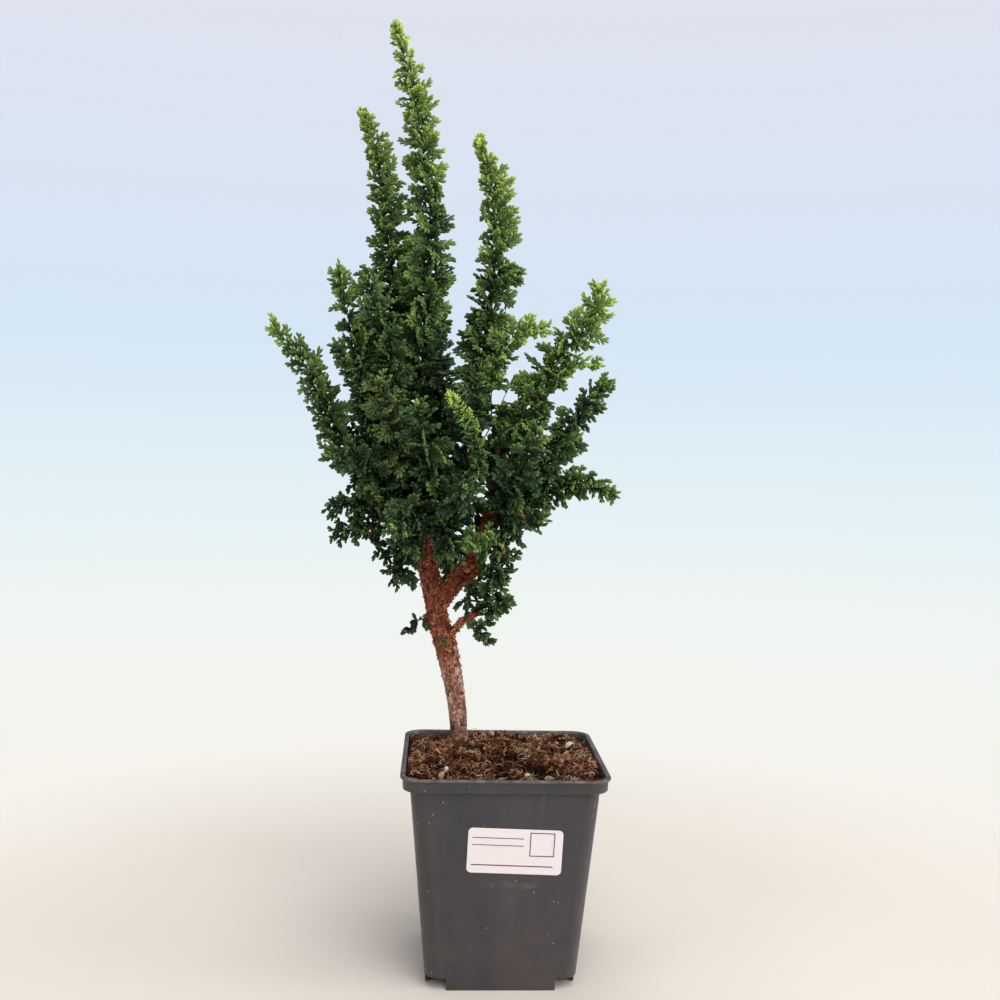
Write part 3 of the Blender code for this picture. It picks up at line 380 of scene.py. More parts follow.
def smooth_curve(rows_mm, per_span=8):
    """Catmull-Rom curve in metres through rows of numbers in millimetres."""
    rows = np.array(rows_mm) * MM
    padded = [rows[0] * 2 - rows[1], *rows, rows[-1] * 2 - rows[-2]]
    curve = []
    for p0, p1, p2, p3 in zip(padded, padded[1:], padded[2:], padded[3:]):
        for t in np.arange(per_span) / per_span:
            curve.append(0.5 * (
                2 * p1 + (p2 - p0) * t + (2 * p0 - 5 * p1 + 4 * p2 - p3) * t * t
                + (3 * p1 - p0 - 3 * p2 + p3) * t * t * t))
    return np.array([*curve, rows[-1]])


def arc_lengths(curve):
    return np.append(0.0, np.cumsum(np.linalg.norm(np.diff(curve[:, :3], axis=0), axis=1)))


def at_lengths(curve, targets):
    """Rows of the curve at the given lengths along it."""
    return np.stack([np.interp(targets, arc_lengths(curve), column) for column in curve.T], axis=1)


def frames_along(samples):
    """Tangent and a side vector at each sample, turned as little as possible."""
    tangents = np.gradient(samples[:, :3], axis=0)
    tangents /= np.linalg.norm(tangents, axis=1)[:, None]
    side = np.array((1.0, 0.0, 0.0)) if abs(tangents[0][0]) < 0.8 else np.array((0.0, 1.0, 0.0))
    sides = []
    for tangent in tangents:
        side = square_to(side, tangent)
        sides.append(side)
    return tangents, np.array(sides)


def lattice_value(cells, seed):
    """A fixed random number from -1 to 1 for each whole-numbered cell."""
    mixed = (cells[:, 0] * 73856093) ^ (cells[:, 1] * 19349663) ^ (cells[:, 2] * 83492791)
    mixed = (mixed + seed * 2654435761) & 0xFFFFFFFF
    mixed = ((mixed ^ (mixed >> 15)) * 2246822519) & 0xFFFFFFFF
    mixed = ((mixed ^ (mixed >> 13)) * 3266489917) & 0xFFFFFFFF
    return (mixed ^ (mixed >> 16)) / 0x7FFFFFFF - 1.0


def noise(points, size, seed):
    """Smooth noise from -1 to 1 at each point, with bumps of about the given size."""
    grid = points / np.array(size)
    low = np.floor(grid).astype(np.int64)
    part = grid - low
    part = part * part * (3 - 2 * part)
    return sum(
        np.prod(np.where(corner, part, 1 - part), axis=1) * lattice_value(low + corner, seed)
        for corner in itertools.product((0, 1), repeat=3))


# Meshes

def new_object(mesh, mat):
    obj = bpy.data.objects.new(mesh.name, mesh)
    bpy.context.scene.collection.objects.link(obj)
    mesh.materials.append(mat)
    return obj


def dress(obj, node):
    """The piece rides on the one body and stands for its CAD node, which it hides."""
    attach(obj, "root")
    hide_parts(node)


def show(mesh, mat, node):
    dress(new_object(mesh, mat), node)


def mesh_of(bm, name):
    mesh = bpy.data.meshes.new(name)
    bm.to_mesh(mesh)
    bm.free()
    return mesh


def mesh_from(name, points, quads, triangles):
    """A mesh from arrays of points and of corner numbers."""
    mesh = bpy.data.meshes.new(name)
    quads = np.reshape(quads, (-1, 4))
    triangles = np.reshape(triangles, (-1, 3))
    loops = np.append(quads, triangles).astype(np.int32)
    starts = np.append(np.arange(len(quads)) * 4, quads.size + np.arange(len(triangles)) * 3)
    mesh.vertices.add(points.size // 3)
    mesh.vertices.foreach_set("co", points.ravel().astype(np.float32))
    mesh.loops.add(len(loops))
    mesh.loops.foreach_set("vertex_index", loops)
    mesh.polygons.add(len(starts))
    mesh.polygons.foreach_set("loop_start", starts.astype(np.int32))
    mesh.update(calc_edges=True)
    mesh.validate()
    mesh.shade_smooth()
    return mesh


def joined(name, parts):
    """One mesh from parts, each given as its points, quads and triangles."""
    starts = np.cumsum([0] + [len(points) for points, _, _ in parts])
    quads = [np.reshape(quads, (-1, 4)) + start for (_, quads, _), start in zip(parts, starts)]
    triangles = [np.reshape(faces, (-1, 3)) + start for (_, _, faces), start in zip(parts, starts)]
    points = np.concatenate([points for points, _, _ in parts])
    return mesh_from(name, points, np.concatenate(quads), np.concatenate(triangles))


def paint(mesh, name, values):
    """Four numbers a vertex, which the material reads by name."""
    attribute = mesh.color_attributes.new(name, "FLOAT_COLOR", "POINT")
    attribute.data.foreach_set("color", np.ravel(values).astype(np.float32))


def paint_parts(mesh, tones):
    """One tone for each of the mesh's equal parts."""
    paint(mesh, "tone", np.repeat(tones, 4 * len(mesh.vertices) // len(tones)))


def vertex_rows(vectors, key):
    flat = np.zeros(len(vectors) * 3)
    vectors.foreach_get(key, flat)
    return flat.reshape(-1, 3)


def circle(sides):
    """Columns of the cosines and sines of evenly spaced angles."""
    angles = math.tau * np.arange(sides)[:, None] / sides
    return np.cos(angles), np.sin(angles)


def tube_quads(rings, sides):
    """Quads of a tube's side, its points numbered ring by ring."""
    a = np.arange((rings - 1) * sides)
    b = a - a % sides + (a + 1) % sides
    return np.stack([a, b, b + sides, a + sides], axis=1)


def tube(rows, sides, end_caps=True):
    """Points, quads and triangles of a tube through rows of (x, y, z, radius)."""
    tangents, side_vectors = frames_along(rows)
    cosines, sines = circle(sides)
    ring = cosines * side_vectors[:, None] + sines * np.cross(tangents, side_vectors)[:, None]
    points = (rows[:, None, :3] + ring * rows[:, None, 3:4]).reshape(-1, 3)
    quads = tube_quads(len(rows), sides)
    if not end_caps:
        return points, quads, []
    k = np.arange(sides)
    j = np.roll(k, -1)
    last = len(points) - sides
    first_end = np.full(sides, len(points))
    triangles = np.stack([j, k, first_end, last + k, last + j, first_end + 1], axis=1)
    return np.concatenate([points, rows[[0, -1], :3]]), quads, triangles


class Strands:
    """Many tapered tubes of one kind, gathered one by one and turned into one mesh.

    Each has a foot, a direction, a direction in which it is wide, a bend that grows with the
    square of the way along it, a length, half a width, half a depth and three painted numbers:
    its tone, where its pattern of scales starts, and how withered it is.
    """

    def __init__(self, stations, widths, sides=4):
        self.stations = np.array(stations)
        self.widths = np.array(widths)
        self.sides = sides
        self.rows = []

    def add(self, foot, forward, wide, bend, length, half_width, half_depth, tone, start=0.0, dead=1.0):
        self.rows.append(
            (*foot, *forward, *wide, *bend, length, half_width, half_depth, tone, start, dead))

    def mesh(self, name, paint_name, tip_gain=0.0):
        rows = np.array(self.rows)
        foot, forward, wide, bend = (rows[:, None, None, k:k + 3] for k in (0, 3, 6, 9))
        length, half_width, half_depth = (rows[:, None, None, k:k + 1] for k in (12, 13, 14))
        t = self.stations[:, None, None]
        cosines, sines = circle(self.sides)
        across = cosines * wide * half_width + sines * np.cross(forward, wide) * half_depth
        centre = foot + forward * length * t + bend * length * t * t
        rings = (centre + across * self.widths[:, None, None]).reshape(len(rows), -1, 3)
        points = np.concatenate([rings, (foot + forward * length + bend * length)[:, 0]], axis=1)

        each = points.shape[1]
        k = np.arange(each - 1 - self.sides, each - 1)
        triangles = np.stack([k, np.roll(k, -1), np.full(self.sides, each - 1)], axis=1)
        shift = (np.arange(len(rows)) * each)[:, None, None]
        mesh = mesh_from(
            name, points, tube_quads(len(self.stations), self.sides) + shift, triangles + shift)

        along = np.append(np.repeat(self.stations, self.sides), 1.0)
        edge = np.append(np.tile(np.abs(cosines).ravel(), len(self.stations)), 0.5)
        tone, start, dead = (rows[:, k:k + 1] for k in (15, 16, 17))
        paint(mesh, paint_name, np.stack(np.broadcast_arrays(
            tone + tip_gain * along, along * rows[:, 12:13] / MM + start, edge, dead), axis=-1))
        return mesh


# Materials

class Nodes:
    """Short ways to build the node tree of a material or a world."""

    def __init__(self, name, kind="materials"):
        self.owner = getattr(bpy.data, kind).new(name)
        self.owner.use_nodes = True
        self.tree = self.owner.node_tree

    def fill(self, node, inputs):
        """Link the node's inputs to sockets, or set them to numbers or colours."""
        for key, given in inputs.items():
            socket = node.inputs[key]
            if isinstance(given, bpy.types.NodeSocket):
                self.tree.links.new(given, socket)
            else:
                socket.default_value = (*given, 1.0) if socket.type == "RGBA" else given
        return node

    def node(self, kind, inputs=None, **settings):
        made = self.tree.nodes.new("ShaderNode" + kind)
        for key, setting in settings.items():
            setattr(made, key, setting)
        return self.fill(made, inputs or {})

    def surface(self, colour, roughness, specular=0.5, bump=None):
        """Finish the material. The bump is a height, a distance and a strength."""
        shader = self.tree.nodes["Principled BSDF"]
        self.fill(shader, {"Base Color": colour, "Roughness": roughness, "Specular IOR Level": specular})
        if bump:
            made = self.node("Bump", dict(zip(("Height", "Distance", "Strength"), bump)))
            self.fill(shader, {"Normal": made.outputs[0]})
        return self.owner

    def place(self):
        return self.node("TexCoord").outputs["Object"]

    def axis(self, name):
        return self.node("SeparateXYZ", {0: self.place()}).outputs[name]

    def noise(self, scale, detail=3.0, roughness=0.55, stretch=None, distortion=0.0):
        vector = self.place()
        if stretch:
            vector = self.node("Mapping", {"Vector": vector, "Scale": stretch}).outputs[0]
        return self.node("TexNoise", {
            "Vector": vector, "Scale": scale, "Detail": detail, "Roughness": roughness,
            "Distortion": distortion}).outputs["Fac"]

    def math(self, operation, a, b=0.0, clamp=False):
        return self.node(
            "Math", {0: a, 1: b}, operation=operation, use_clamp=clamp).outputs[0]

    def times(self, a, b):
        return self.math("MULTIPLY", a, b)

    def weighed(self, a, share_a, b, share_b):
        return self.math("ADD", self.times(a, share_a), self.times(b, share_b))

    def swayed(self, value, mottle, amount, clamp=False):
        """The value, raised and lowered by a noise round 0.5."""
        return self.math("ADD", value, self.times(self.math("SUBTRACT", mottle, 0.5), amount), clamp)

    def away(self, value, middle):
        return self.math("ABSOLUTE", self.math("SUBTRACT", value, middle))

    def remap(self, value, low, high, to_low=0.0, to_high=1.0, **settings):
        return self.node("MapRange", {
            "Value": value, "From Min": low, "From Max": high, "To Min": to_low,
            "To Max": to_high}, **settings).outputs[0]

    def ramp(self, factor, *stops):
        """A colour by the factor, from stops given as (position, red, green, blue)."""
        made = self.node("ValToRGB", {"Fac": factor})
        elements = made.color_ramp.elements
        while len(elements) < len(stops):
            elements.new(0.5)
        for element, (position, *colour) in zip(elements, stops):
            element.position = position
            element.color = (*colour, 1.0)
        return made.outputs["Color"]

    def mix(self, factor, a, b, blend="MIX"):
        return self.node(
            "Mix", {0: factor, 6: a, 7: b}, data_type="RGBA", blend_type=blend).outputs[2]

    def layered(self, colour, *layers):
        """The colour under layers given as (share, red, green, blue)."""
        for share, *over in layers:
            colour = self.mix(share, colour, over)
        return colour

    def painted(self, name):
        """The four numbers painted on the mesh: three from the colour and one from the alpha."""
        attribute = self.node("Attribute", attribute_name=name)
        parts = self.node("SeparateColor", {"Color": attribute.outputs["Color"]})
        return (*parts.outputs[:3], attribute.outputs["Alpha"])


def leaf_material():
    """Scale leaves: near black inside the crown from painted shade, deep green outside, fresh yellow green at
    tips.
    """
    n = Nodes("scale_leaves")
    tone, along, edge, dead = n.painted("sprig")
    green = n.ramp(
        n.swayed(tone, n.noise(260.0), 0.30, clamp=True), (0.00, 0.005, 0.011, 0.0055),
        (0.25, 0.018, 0.040, 0.0145), (0.50, 0.060, 0.118, 0.032), (0.75, 0.172, 0.272, 0.056),
        (1.00, 0.420, 0.545, 0.105))
    seam = n.math("FRACT", n.weighed(along, 0.9, edge, 0.45))
    scale = n.remap(seam, 0.0, 0.35, 0.76, 1.08)
    grey = n.node("CombineColor", {0: scale, 1: scale, 2: scale}).outputs[0]
    withered = n.ramp(n.noise(330.0), (0.3, 0.14, 0.055, 0.016), (0.7, 0.42, 0.22, 0.075))
    colour = n.mix(dead, n.mix(1.0, green, grey, "MULTIPLY"), withered)
    return n.surface(colour, 0.56, 0.22, (seam, 0.12 * MM, 0.5))


def bark_material():
    """Smooth greyish purple near the soil, mottled above it, then red brown and crumbly, with painted shade
    on the limbs inside the crown.
    """
    n = Nodes("cypress_bark")
    height = n.axis("Z")
    ragged = n.swayed(height, n.noise(210.0, 4.0, 0.6), 0.05)
    climb = n.remap(ragged, 0.126, 0.143)
    strips = n.noise(520.0, 6.0, 0.65, (1.0, 1.0, 0.3), 0.5)
    fine = n.noise(1700.0, 4.0, 0.6)
    mottle = n.noise(300.0, 6.0, 0.75, (1.0, 1.0, 0.7), 0.8)
    shade = n.weighed(mottle, 0.55, n.noise(1100.0, 5.0, 0.7), 0.45)
    low = n.ramp(
        n.swayed(shade, n.noise(150.0, 3.0, 0.5, (1.3, 1.3, 0.8)), 0.42), (0.375, 0.022, 0.009, 0.004),
        (0.44, 0.125, 0.045, 0.025), (0.505, 0.32, 0.148, 0.098), (0.57, 0.56, 0.34, 0.255),
        (0.645, 0.88, 0.72, 0.63))
    # Darker in patches towards the soil
    dark_near_soil = n.times(n.remap(height, 0.112, 0.093), n.remap(n.noise(160.0, 4.0), 0.35, 0.60, 0.35, 0.95))
    blush = n.remap(n.noise(130.0, 4.0), 0.50, 0.62)
    cream = n.times(n.remap(n.noise(420.0, 4.0), 0.60, 0.70), 0.75)
    zone = n.times(n.remap(ragged, 0.106, 0.120), n.remap(ragged, 0.152, 0.138))
    low = n.layered(
        low, (dark_near_soil, 0.058, 0.023, 0.015), (n.times(blush, zone), 0.42, 0.085, 0.050),
        (n.times(cream, zone), 0.60, 0.42, 0.30))
    high = n.ramp(
        n.weighed(strips, 0.6, fine, 0.4), (0.36, 0.016, 0.004, 0.002), (0.44, 0.110, 0.022, 0.009),
        (0.515, 0.270, 0.062, 0.026), (0.59, 0.45, 0.15, 0.070), (0.67, 0.74, 0.48, 0.36))
    rust = n.remap(n.noise(150.0, 3.0), 0.58, 0.68, 0.0, 0.8)
    high = n.mix(rust, high, (0.50, 0.15, 0.025), "OVERLAY")
    # Painted shade: the limbs inside the crown darken above 0.2 m
    painted_crown_shade = n.remap(height, 0.200, 0.222, 0.0, 0.85)
    colour = n.layered(n.mix(climb, low, high), (painted_crown_shade, 0.020, 0.008, 0.005))
    roughness = n.math("ADD", n.remap(climb, 0.0, 1.0, 0.24, 0.66), n.remap(fine, 0.3, 0.7, 0.0, 0.18))
    relief = n.weighed(strips, n.remap(climb, 0.0, 1.0, 0.6, 1.0), fine, 0.45)
    return n.surface(colour, roughness, 0.42, (relief, 0.7 * MM, 0.85))


def pot_material():
    """Grey moulded plastic: faint mottling, scuffs, pale specks, a painted reflection of the floor low down
    and a worn lip with a painted highlight.
    """
    n = Nodes("pot_plastic_grey")
    height = n.axis("Z")
    base = n.ramp(n.noise(38.0, 4.0), (0.3, 0.029, 0.028, 0.034), (0.7, 0.040, 0.0365, 0.042))
    # Painted reflection of the pale floor: lighter and warmer towards the bottom, in patches
    floor_reflection = n.times(n.remap(height, 0.060, 0.0, 0.0, 0.50), n.remap(n.noise(70.0, 5.0), 0.35, 0.7))
    smear = n.times(
        n.remap(n.noise(210.0, 5.0, 0.7), 0.47, 0.62, 0.0, 0.6),
        n.remap(n.away(height, 0.0475), 0.0022, 0.0))
    smear = n.times(smear, n.remap(n.away(n.axis("X"), 0.004), 0.017, 0.009))
    streaks = n.noise(95.0, 4.0, 0.65, (1.0, 1.0, 0.10), 0.3)
    scratch = n.noise(240.0, 3.0, 0.6, (1.0, 1.0, 0.06), 0.8)
    specks = n.node("TexVoronoi", {"Vector": n.place(), "Scale": 330.0})
    speck = n.times(
        n.remap(specks.outputs["Distance"], 0.13, 0.07), n.remap(n.noise(120.0), 0.54, 0.60))
    # The lip's top edge: wear, and a painted highlight along it
    worn_lit_lip = n.times(n.remap(height, 0.0938, 0.0949), n.remap(n.noise(260.0, 4.0), 0.42, 0.62, 0.15, 0.7))
    colour = n.layered(
        base, (floor_reflection, 0.086, 0.062, 0.052), (smear, 0.13, 0.10, 0.09),
        (n.remap(streaks, 0.50, 0.75, 0.0, 0.55), 0.066, 0.057, 0.060),
        (n.remap(scratch, 0.68, 0.76, 0.0, 0.45), 0.14, 0.13, 0.13),
        (speck, 0.42, 0.36, 0.31), (worn_lit_lip, 0.20, 0.185, 0.18))
    seam = n.math("MULTIPLY", n.away(height, 0.0062), 3500.0, clamp=True)
    relief = n.math("ADD", n.times(n.noise(700.0, 3.0), 0.14), seam)
    return n.surface(colour, n.remap(n.noise(90.0, 5.0), 0.3, 0.7, 0.33, 0.52), 0.5, (relief, 0.12 * MM, 0.5))


def soil_material():
    n = Nodes("damp_peat")
    lumps = n.noise(520.0, 7.0, 0.75)
    # Painted shade: the painted tone darkens the hollows of the peat
    shade = n.swayed(n.swayed(lumps, n.noise(70.0, 3.0), 0.4), n.painted("tone")[0], 0.42)
    colour = n.ramp(
        shade, (0.32, 0.0014, 0.0004, 0.0002), (0.50, 0.015, 0.0035, 0.0016),
        (0.63, 0.085, 0.026, 0.010), (0.80, 0.38, 0.20, 0.11))
    return n.surface(colour, 0.95, 0.06, (lumps, 1.4 * MM, 1.0))


def grained_material(name, roughness, bump, stops, *noise_settings):
    """A material whose colour and bump, if it has one, follow one noise."""
    n = Nodes(name)
    grain = n.noise(*noise_settings)
    return n.surface(n.ramp(grain, *stops), roughness, bump=bump and (grain, *bump))


def toned_material(name, scale, roughness, *stops, tone="tone", sway=0.45, specular=0.10, bump=0.3):
    """A material whose shade is painted on the mesh and mottled by noise."""
    n = Nodes(name)
    mottle = n.noise(scale, 4.0)
    shade = n.swayed(n.painted(tone)[0], mottle, sway, clamp=True)
    return n.surface(n.ramp(shade, *stops), roughness, specular, (mottle, bump * MM, 0.7))


# Pot and label

def rounded_outline(half_x, half_y, corner, z, steps):
    """Points of a rectangle's outline with round corners, anticlockwise seen from above."""
    points = []
    for quarter, (sx, sy) in enumerate(((1, 1), (-1, 1), (-1, -1), (1, -1))):
        for step in range(steps + 1):
            angle = math.radians(90 * (quarter + step / steps))
            points.append(Vector((
                sx * (half_x - corner) + corner * math.cos(angle),
                sy * (half_y - corner) + corner * math.sin(angle), z)))
    return points


def closed_loft(rings):
    bm = bmesh.new()
    vert_rings = [[bm.verts.new(p) for p in ring] for ring in rings]
    for lower, upper in zip(vert_rings, vert_rings[1:]):
        for i in range(len(lower)):
            j = (i + 1) % len(lower)
            bm.faces.new((lower[i], lower[j], upper[j], upper[i]))
    bm.faces.new(reversed(vert_rings[0]))
    bm.faces.new(vert_rings[-1])
    bmesh.ops.recalc_face_normals(bm, faces=bm.faces)
    return bm


def body_half(z):
    return BASE_HALF + (BODY_TOP_HALF - BASE_HALF) * z / BAND_BOTTOM


def box_into(bm, corner, opposite):
    """Add a box between two opposite corners."""
    low = np.minimum(corner, opposite)
    high = np.maximum(corner, opposite)
    for vert in bmesh.ops.create_cube(bm, size=1.0)["verts"]:
        vert.co = (low + high) / 2 + np.array(vert.co) * (high - low)


def baked(obj):
    """Replace the object's mesh by what its modifiers make of it."""
    bpy.context.view_layer.update()
    depsgraph = bpy.context.evaluated_depsgraph_get()
    mesh = bpy.data.meshes.new_from_object(obj.evaluated_get(depsgraph))
    obj.modifiers.clear()
    obj.data = mesh


def modify(obj, name, kind, **settings):
    modifier = obj.modifiers.new(name, kind)
    for key, setting in settings.items():
        setattr(modifier, key, setting)


def cut_object(target, bm):
    """Cut the target with the closed solids in bm, some of which overlap."""
    cutter = bpy.data.objects.new("cutter", mesh_of(bm, "cutter"))
    bpy.context.scene.collection.objects.link(cutter)
    modify(target, "cut", "BOOLEAN", operation="DIFFERENCE", object=cutter, use_self=True)
    baked(target)
    bpy.data.objects.remove(cutter, do_unlink=True)


def make_pot():
    inner = RIM_CORNER - WALL
    profile = [
        (BASE_HALF, BASE_CORNER, 0.0),
        (BODY_TOP_HALF, RIM_CORNER - 2 * WALL, BAND_BOTTOM - WALL),
        (BAND_HALF - BAND_DRAFT, RIM_CORNER - WALL / 2, BAND_BOTTOM),
        (BAND_HALF, RIM_CORNER - WALL / 2, BAND_TOP),
        (LIP_HALF, RIM_CORNER, BAND_TOP),
        (LIP_HALF, RIM_CORNER, POT_HEIGHT),
        (BAND_HALF - WALL, inner, POT_HEIGHT),
        (BAND_HALF - WALL - BAND_DRAFT, inner, BAND_BOTTOM + WALL),
        (BODY_TOP_HALF - WALL, inner - WALL, BAND_BOTTOM),
        (body_half(FLOOR_TOP) - WALL, BASE_CORNER - WALL, FLOOR_TOP),
    ]
    bm = closed_loft([rounded_outline(half, half, *row, POT_CORNER_STEPS) for half, *row in profile])
    pot = new_object(mesh_of(bm, "pot_shell"), pot_material())

    recesses = bmesh.new()
    notches = bmesh.new()
    for sx, sy in itertools.product((-1, 1), repeat=2):
        for cuts, near, far in (
                (recesses, RIB_HALF, BASE_HALF - WALL), (notches, SKIRT_HALF_WIDTH, LIP_HALF)):
            box_into(cuts, (sx * near, sy * near, -FLOOR_UNDERSIDE), (sx * far, sy * far, FLOOR_UNDERSIDE))
        bmesh.ops.create_cone(
            recesses, cap_ends=True, segments=24, radius1=DRAIN_RADIUS, radius2=DRAIN_RADIUS,
            depth=3 * FLOOR_TOP, matrix=Matrix.Translation((sx * DRAIN_OFFSET, sy * DRAIN_OFFSET, 0.0)))
    cut_object(pot, recesses)
    cut_object(pot, notches)
    modify(pot, "soft_edges", "BEVEL", width=POT_EDGE, segments=2, limit_method="ANGLE",
           angle_limit=math.radians(28))
    modify(pot, "even_normals", "WEIGHTED_NORMAL", keep_sharp=True)
    baked(pot)
    pot.data.shade_smooth()
    dress(pot, "pot")


def make_label():
    """White sticker with plain ruled lines and an empty square frame, turned slightly clockwise."""
    slope = math.atan2(BODY_TOP_HALF - BASE_HALF, BAND_BOTTOM - WALL)
    place = (
        Matrix.Translation((LABEL_X, -(BASE_HALF + math.tan(slope) * LABEL_Z), LABEL_Z))
        @ Matrix.Rotation(math.pi / 2 + slope, 4, "X") @ Matrix.Rotation(-LABEL_TURN, 4, "Z"))
    bend = 0.35 * LABEL_THICKNESS
    sticker = closed_loft([
        rounded_outline(
            LABEL_WIDTH / 2 - inset, LABEL_HEIGHT / 2 - inset, LABEL_CORNER - inset, depth,
            LABEL_CORNER_STEPS)
        for inset, depth in (
            (bend, 0.02 * MM), (0.0, bend), (0.0, LABEL_THICKNESS - bend), (bend, LABEL_THICKNESS))])
    rules = bmesh.new()
    for x0, y0, x1, y1 in LABEL_BARS:
        box_into(rules, (x0 * MM, y0 * MM, LABEL_THICKNESS - PRINT_RISE),
                 (x1 * MM, y1 * MM, LABEL_THICKNESS + PRINT_RISE))
    paper = grained_material(
        "label_paper_white", 0.42, (0.02 * MM, 0.3), ((0.3, 0.74, 0.675, 0.69), (0.7, 0.78, 0.71, 0.72)),
        700.0, 4.0)
    ink = grained_material(
        "label_ink", 0.5, None, ((0.3, 0.03, 0.03, 0.032), (0.7, 0.08, 0.08, 0.085)), 900.0)
    for name, bm, mat in (("label_sticker", sticker, paper), ("label_rules", rules, ink)):
        bmesh.ops.transform(bm, matrix=place, verts=bm.verts)
        show(mesh_of(bm, name), mat, "label")


# Soil

def soil_relief(x, y):
    """Clods and crumbs of peat, as heights over the even soil."""
    flat = np.stack([x, y, np.zeros_like(x)], axis=1)
    clods = noise(flat, 13 * MM, 1) + 2.0 * noise(flat, 6.0 * MM, 2)
    crumb = 1.5 * (1 - 2 * np.abs(noise(flat, 3.6 * MM, 3))) + noise(flat, 1.5 * MM, 4)
    return (clods + 0.95 * crumb) * MM


def shade_by_relief(x, y):
    """Painted shade from the relief: 0 in the hollows of the peat and 1 on its crests."""
    return np.clip(0.5 + soil_relief(x, y) / RELIEF_RANGE, 0.0, 1.0)


def soil_heights(x, y):
    """Height of the soil: clods over a low heap round the trunk, falling towards the front."""
    distance = np.hypot(x - TRUNK_X, y - TRUNK_Y)
    mound = SOIL_MOUND * np.exp(-(distance / MOUND_RADIUS) ** 2)
    collar = 1.6 * MM * np.exp(-((distance - 5.5 * MM) / (2.2 * MM)) ** 2)
    heaps = sum(
        rise * np.exp(-(np.hypot(x - heap_x, y - heap_y) / HEAP_RADIUS) ** 2)
        for heap_x, heap_y, rise in HEAPS)
    return SOIL_LEVEL + mound + SOIL_FALL * y / LIP_HALF + soil_relief(x, y) + collar + heaps


def on_rounded(u, v, half, corner):
    """Map points of the unit square to a square with round corners."""
    straight = half - corner
    cx = np.clip(u * half, -straight, straight)
    cy = np.clip(v * half, -straight, straight)
    dx = u * half - cx
    dy = v * half - cy
    shrink = np.minimum(1.0, corner / np.maximum(np.hypot(dx, dy), 1e-9))
    return cx + dx * shrink, cy + dy * shrink


def make_soil():
    inner = RIM_CORNER - WALL
    top_half = BAND_HALF - WALL - 0.5 * MM
    line = np.linspace(-1, 1, SOIL_CELLS + 1)
    u, v = (a.ravel() for a in np.meshgrid(line, line))
    x, y = on_rounded(u, v, top_half, inner)
    edge_share = np.clip((np.maximum(np.abs(u), np.abs(v)) - 0.93) / 0.07, 0, 1)
    z = np.maximum(
        soil_heights(x, y) - edge_share ** 2 * 1.6 * MM, BAND_BOTTOM + WALL + 1.5 * SOIL_GAP)
    points = [np.stack([x, y, z], axis=1)]
    count = len(z)
    width = len(line)
    index = np.arange(count).reshape(width, width)
    a = index[:-1, :-1].ravel()
    quads = [np.stack([a, a + 1, a + width + 1, a + width], axis=1)]
    edge = np.concatenate([index[0, :-1], index[:-1, -1], index[-1, :0:-1], index[:0:-1, 0]])
    loop = edge
    for half, corner, level in (
            (top_half, inner, BAND_BOTTOM + WALL + SOIL_GAP),
            (BODY_TOP_HALF - WALL - SOIL_GAP, inner - WALL, BAND_BOTTOM - SOIL_GAP),
            (body_half(FLOOR_TOP) - WALL - SOIL_GAP, BASE_CORNER - WALL, FLOOR_TOP + SOIL_GAP)):
        ring = np.arange(count, count + len(edge))
        points.append(np.column_stack([
            *on_rounded(u[edge], v[edge], half, corner), np.full(len(edge), level)]))
        quads.append(np.stack([loop, ring, np.roll(ring, -1), np.roll(loop, -1)], axis=1))
        loop = ring
        count += len(edge)
    points.append([[0.0, 0.0, FLOOR_TOP + SOIL_GAP]])
    triangles = np.stack([loop, np.full(len(loop), count), np.roll(loop, -1)], axis=1)
    mesh = mesh_from("soil_surface", np.concatenate(points), np.concatenate(quads), triangles)
    # The top is painted with shade from its relief, and the sides with one mid tone
    paint_parts(mesh, np.append(shade_by_relief(x, y), np.full(3 * len(edge) + 1, 0.4)))
    show(mesh, soil_material(), "soil")


def random_spots(rng, count):
    """Places on the soil, clear of the trunk and the corners, and how near each is to a crest, which sets its
    painted shade.
    """
    spots = []
    while len(spots) < count:
        x = rng.uniform(-SPOTS_REACH, SPOTS_REACH)
        y = rng.uniform(-SPOTS_REACH, SPOTS_REACH)
        corner = abs(x) + abs(y) > 2 * SPOTS_REACH - 5 * MM
        if math.hypot(x - TRUNK_X, y - TRUNK_Y) > 5.0 * MM and not corner:
            spots.append((x, y))
    x, y = np.array(spots).T
    return np.column_stack([x, y, soil_heights(x, y)]), shade_by_relief(x, y)


def make_fibres():
    """Curly coir and root fibres that stand out of the peat."""
    rng = random.Random(21)
    parts = []
    tones = []
    for spot, crest in zip(*random_spots(rng, FIBRES)):
        step = rng.uniform(2.0, 7.5) * MM / FIBRE_SEGMENTS
        direction = unit(np.array((rng.gauss(0, 1), rng.gauss(0, 1), rng.uniform(0.0, 0.6))))
        axis = unit(scatter(rng))
        curl = rng.choice((-1, 1)) * rng.uniform(0.3, 1.15)
        radius = rng.uniform(0.05, 0.14) * MM
        place = spot + UP * rng.uniform(-0.4, 0.5) * MM
        low = (-FIBRE_REACH, -FIBRE_REACH, 0.0)
        high = (FIBRE_REACH, FIBRE_REACH, spot[2] + FIBRE_RISE)
        rows = []
        for k in range(FIBRE_SEGMENTS + 1):
            rows.append((*place, radius * (1.0 - 0.6 * k / FIBRE_SEGMENTS)))
            direction = unit(turned(direction, axis, curl) - UP * 0.10 + 0.16 * scatter(rng))
            place = np.clip(place + direction * step, low, high)
        parts.append(tube(np.array(rows), 3, end_caps=False))
        # Painted shade: fibres in the hollows of the peat are darker
        tones.append(clipped(rng.gauss(0.15 + 0.58 * crest, 0.27)))
    mesh = joined("soil_fibres", parts)
    paint_parts(mesh, tones)
    mat = toned_material(
        "coir_fibres", 300.0, 0.8, (0.0, 0.010, 0.0025, 0.001), (0.35, 0.062, 0.018, 0.007),
        (0.6, 0.25, 0.108, 0.052), (0.82, 0.66, 0.43, 0.27), (1.0, 0.90, 0.78, 0.62))
    show(mesh, mat, "soil")


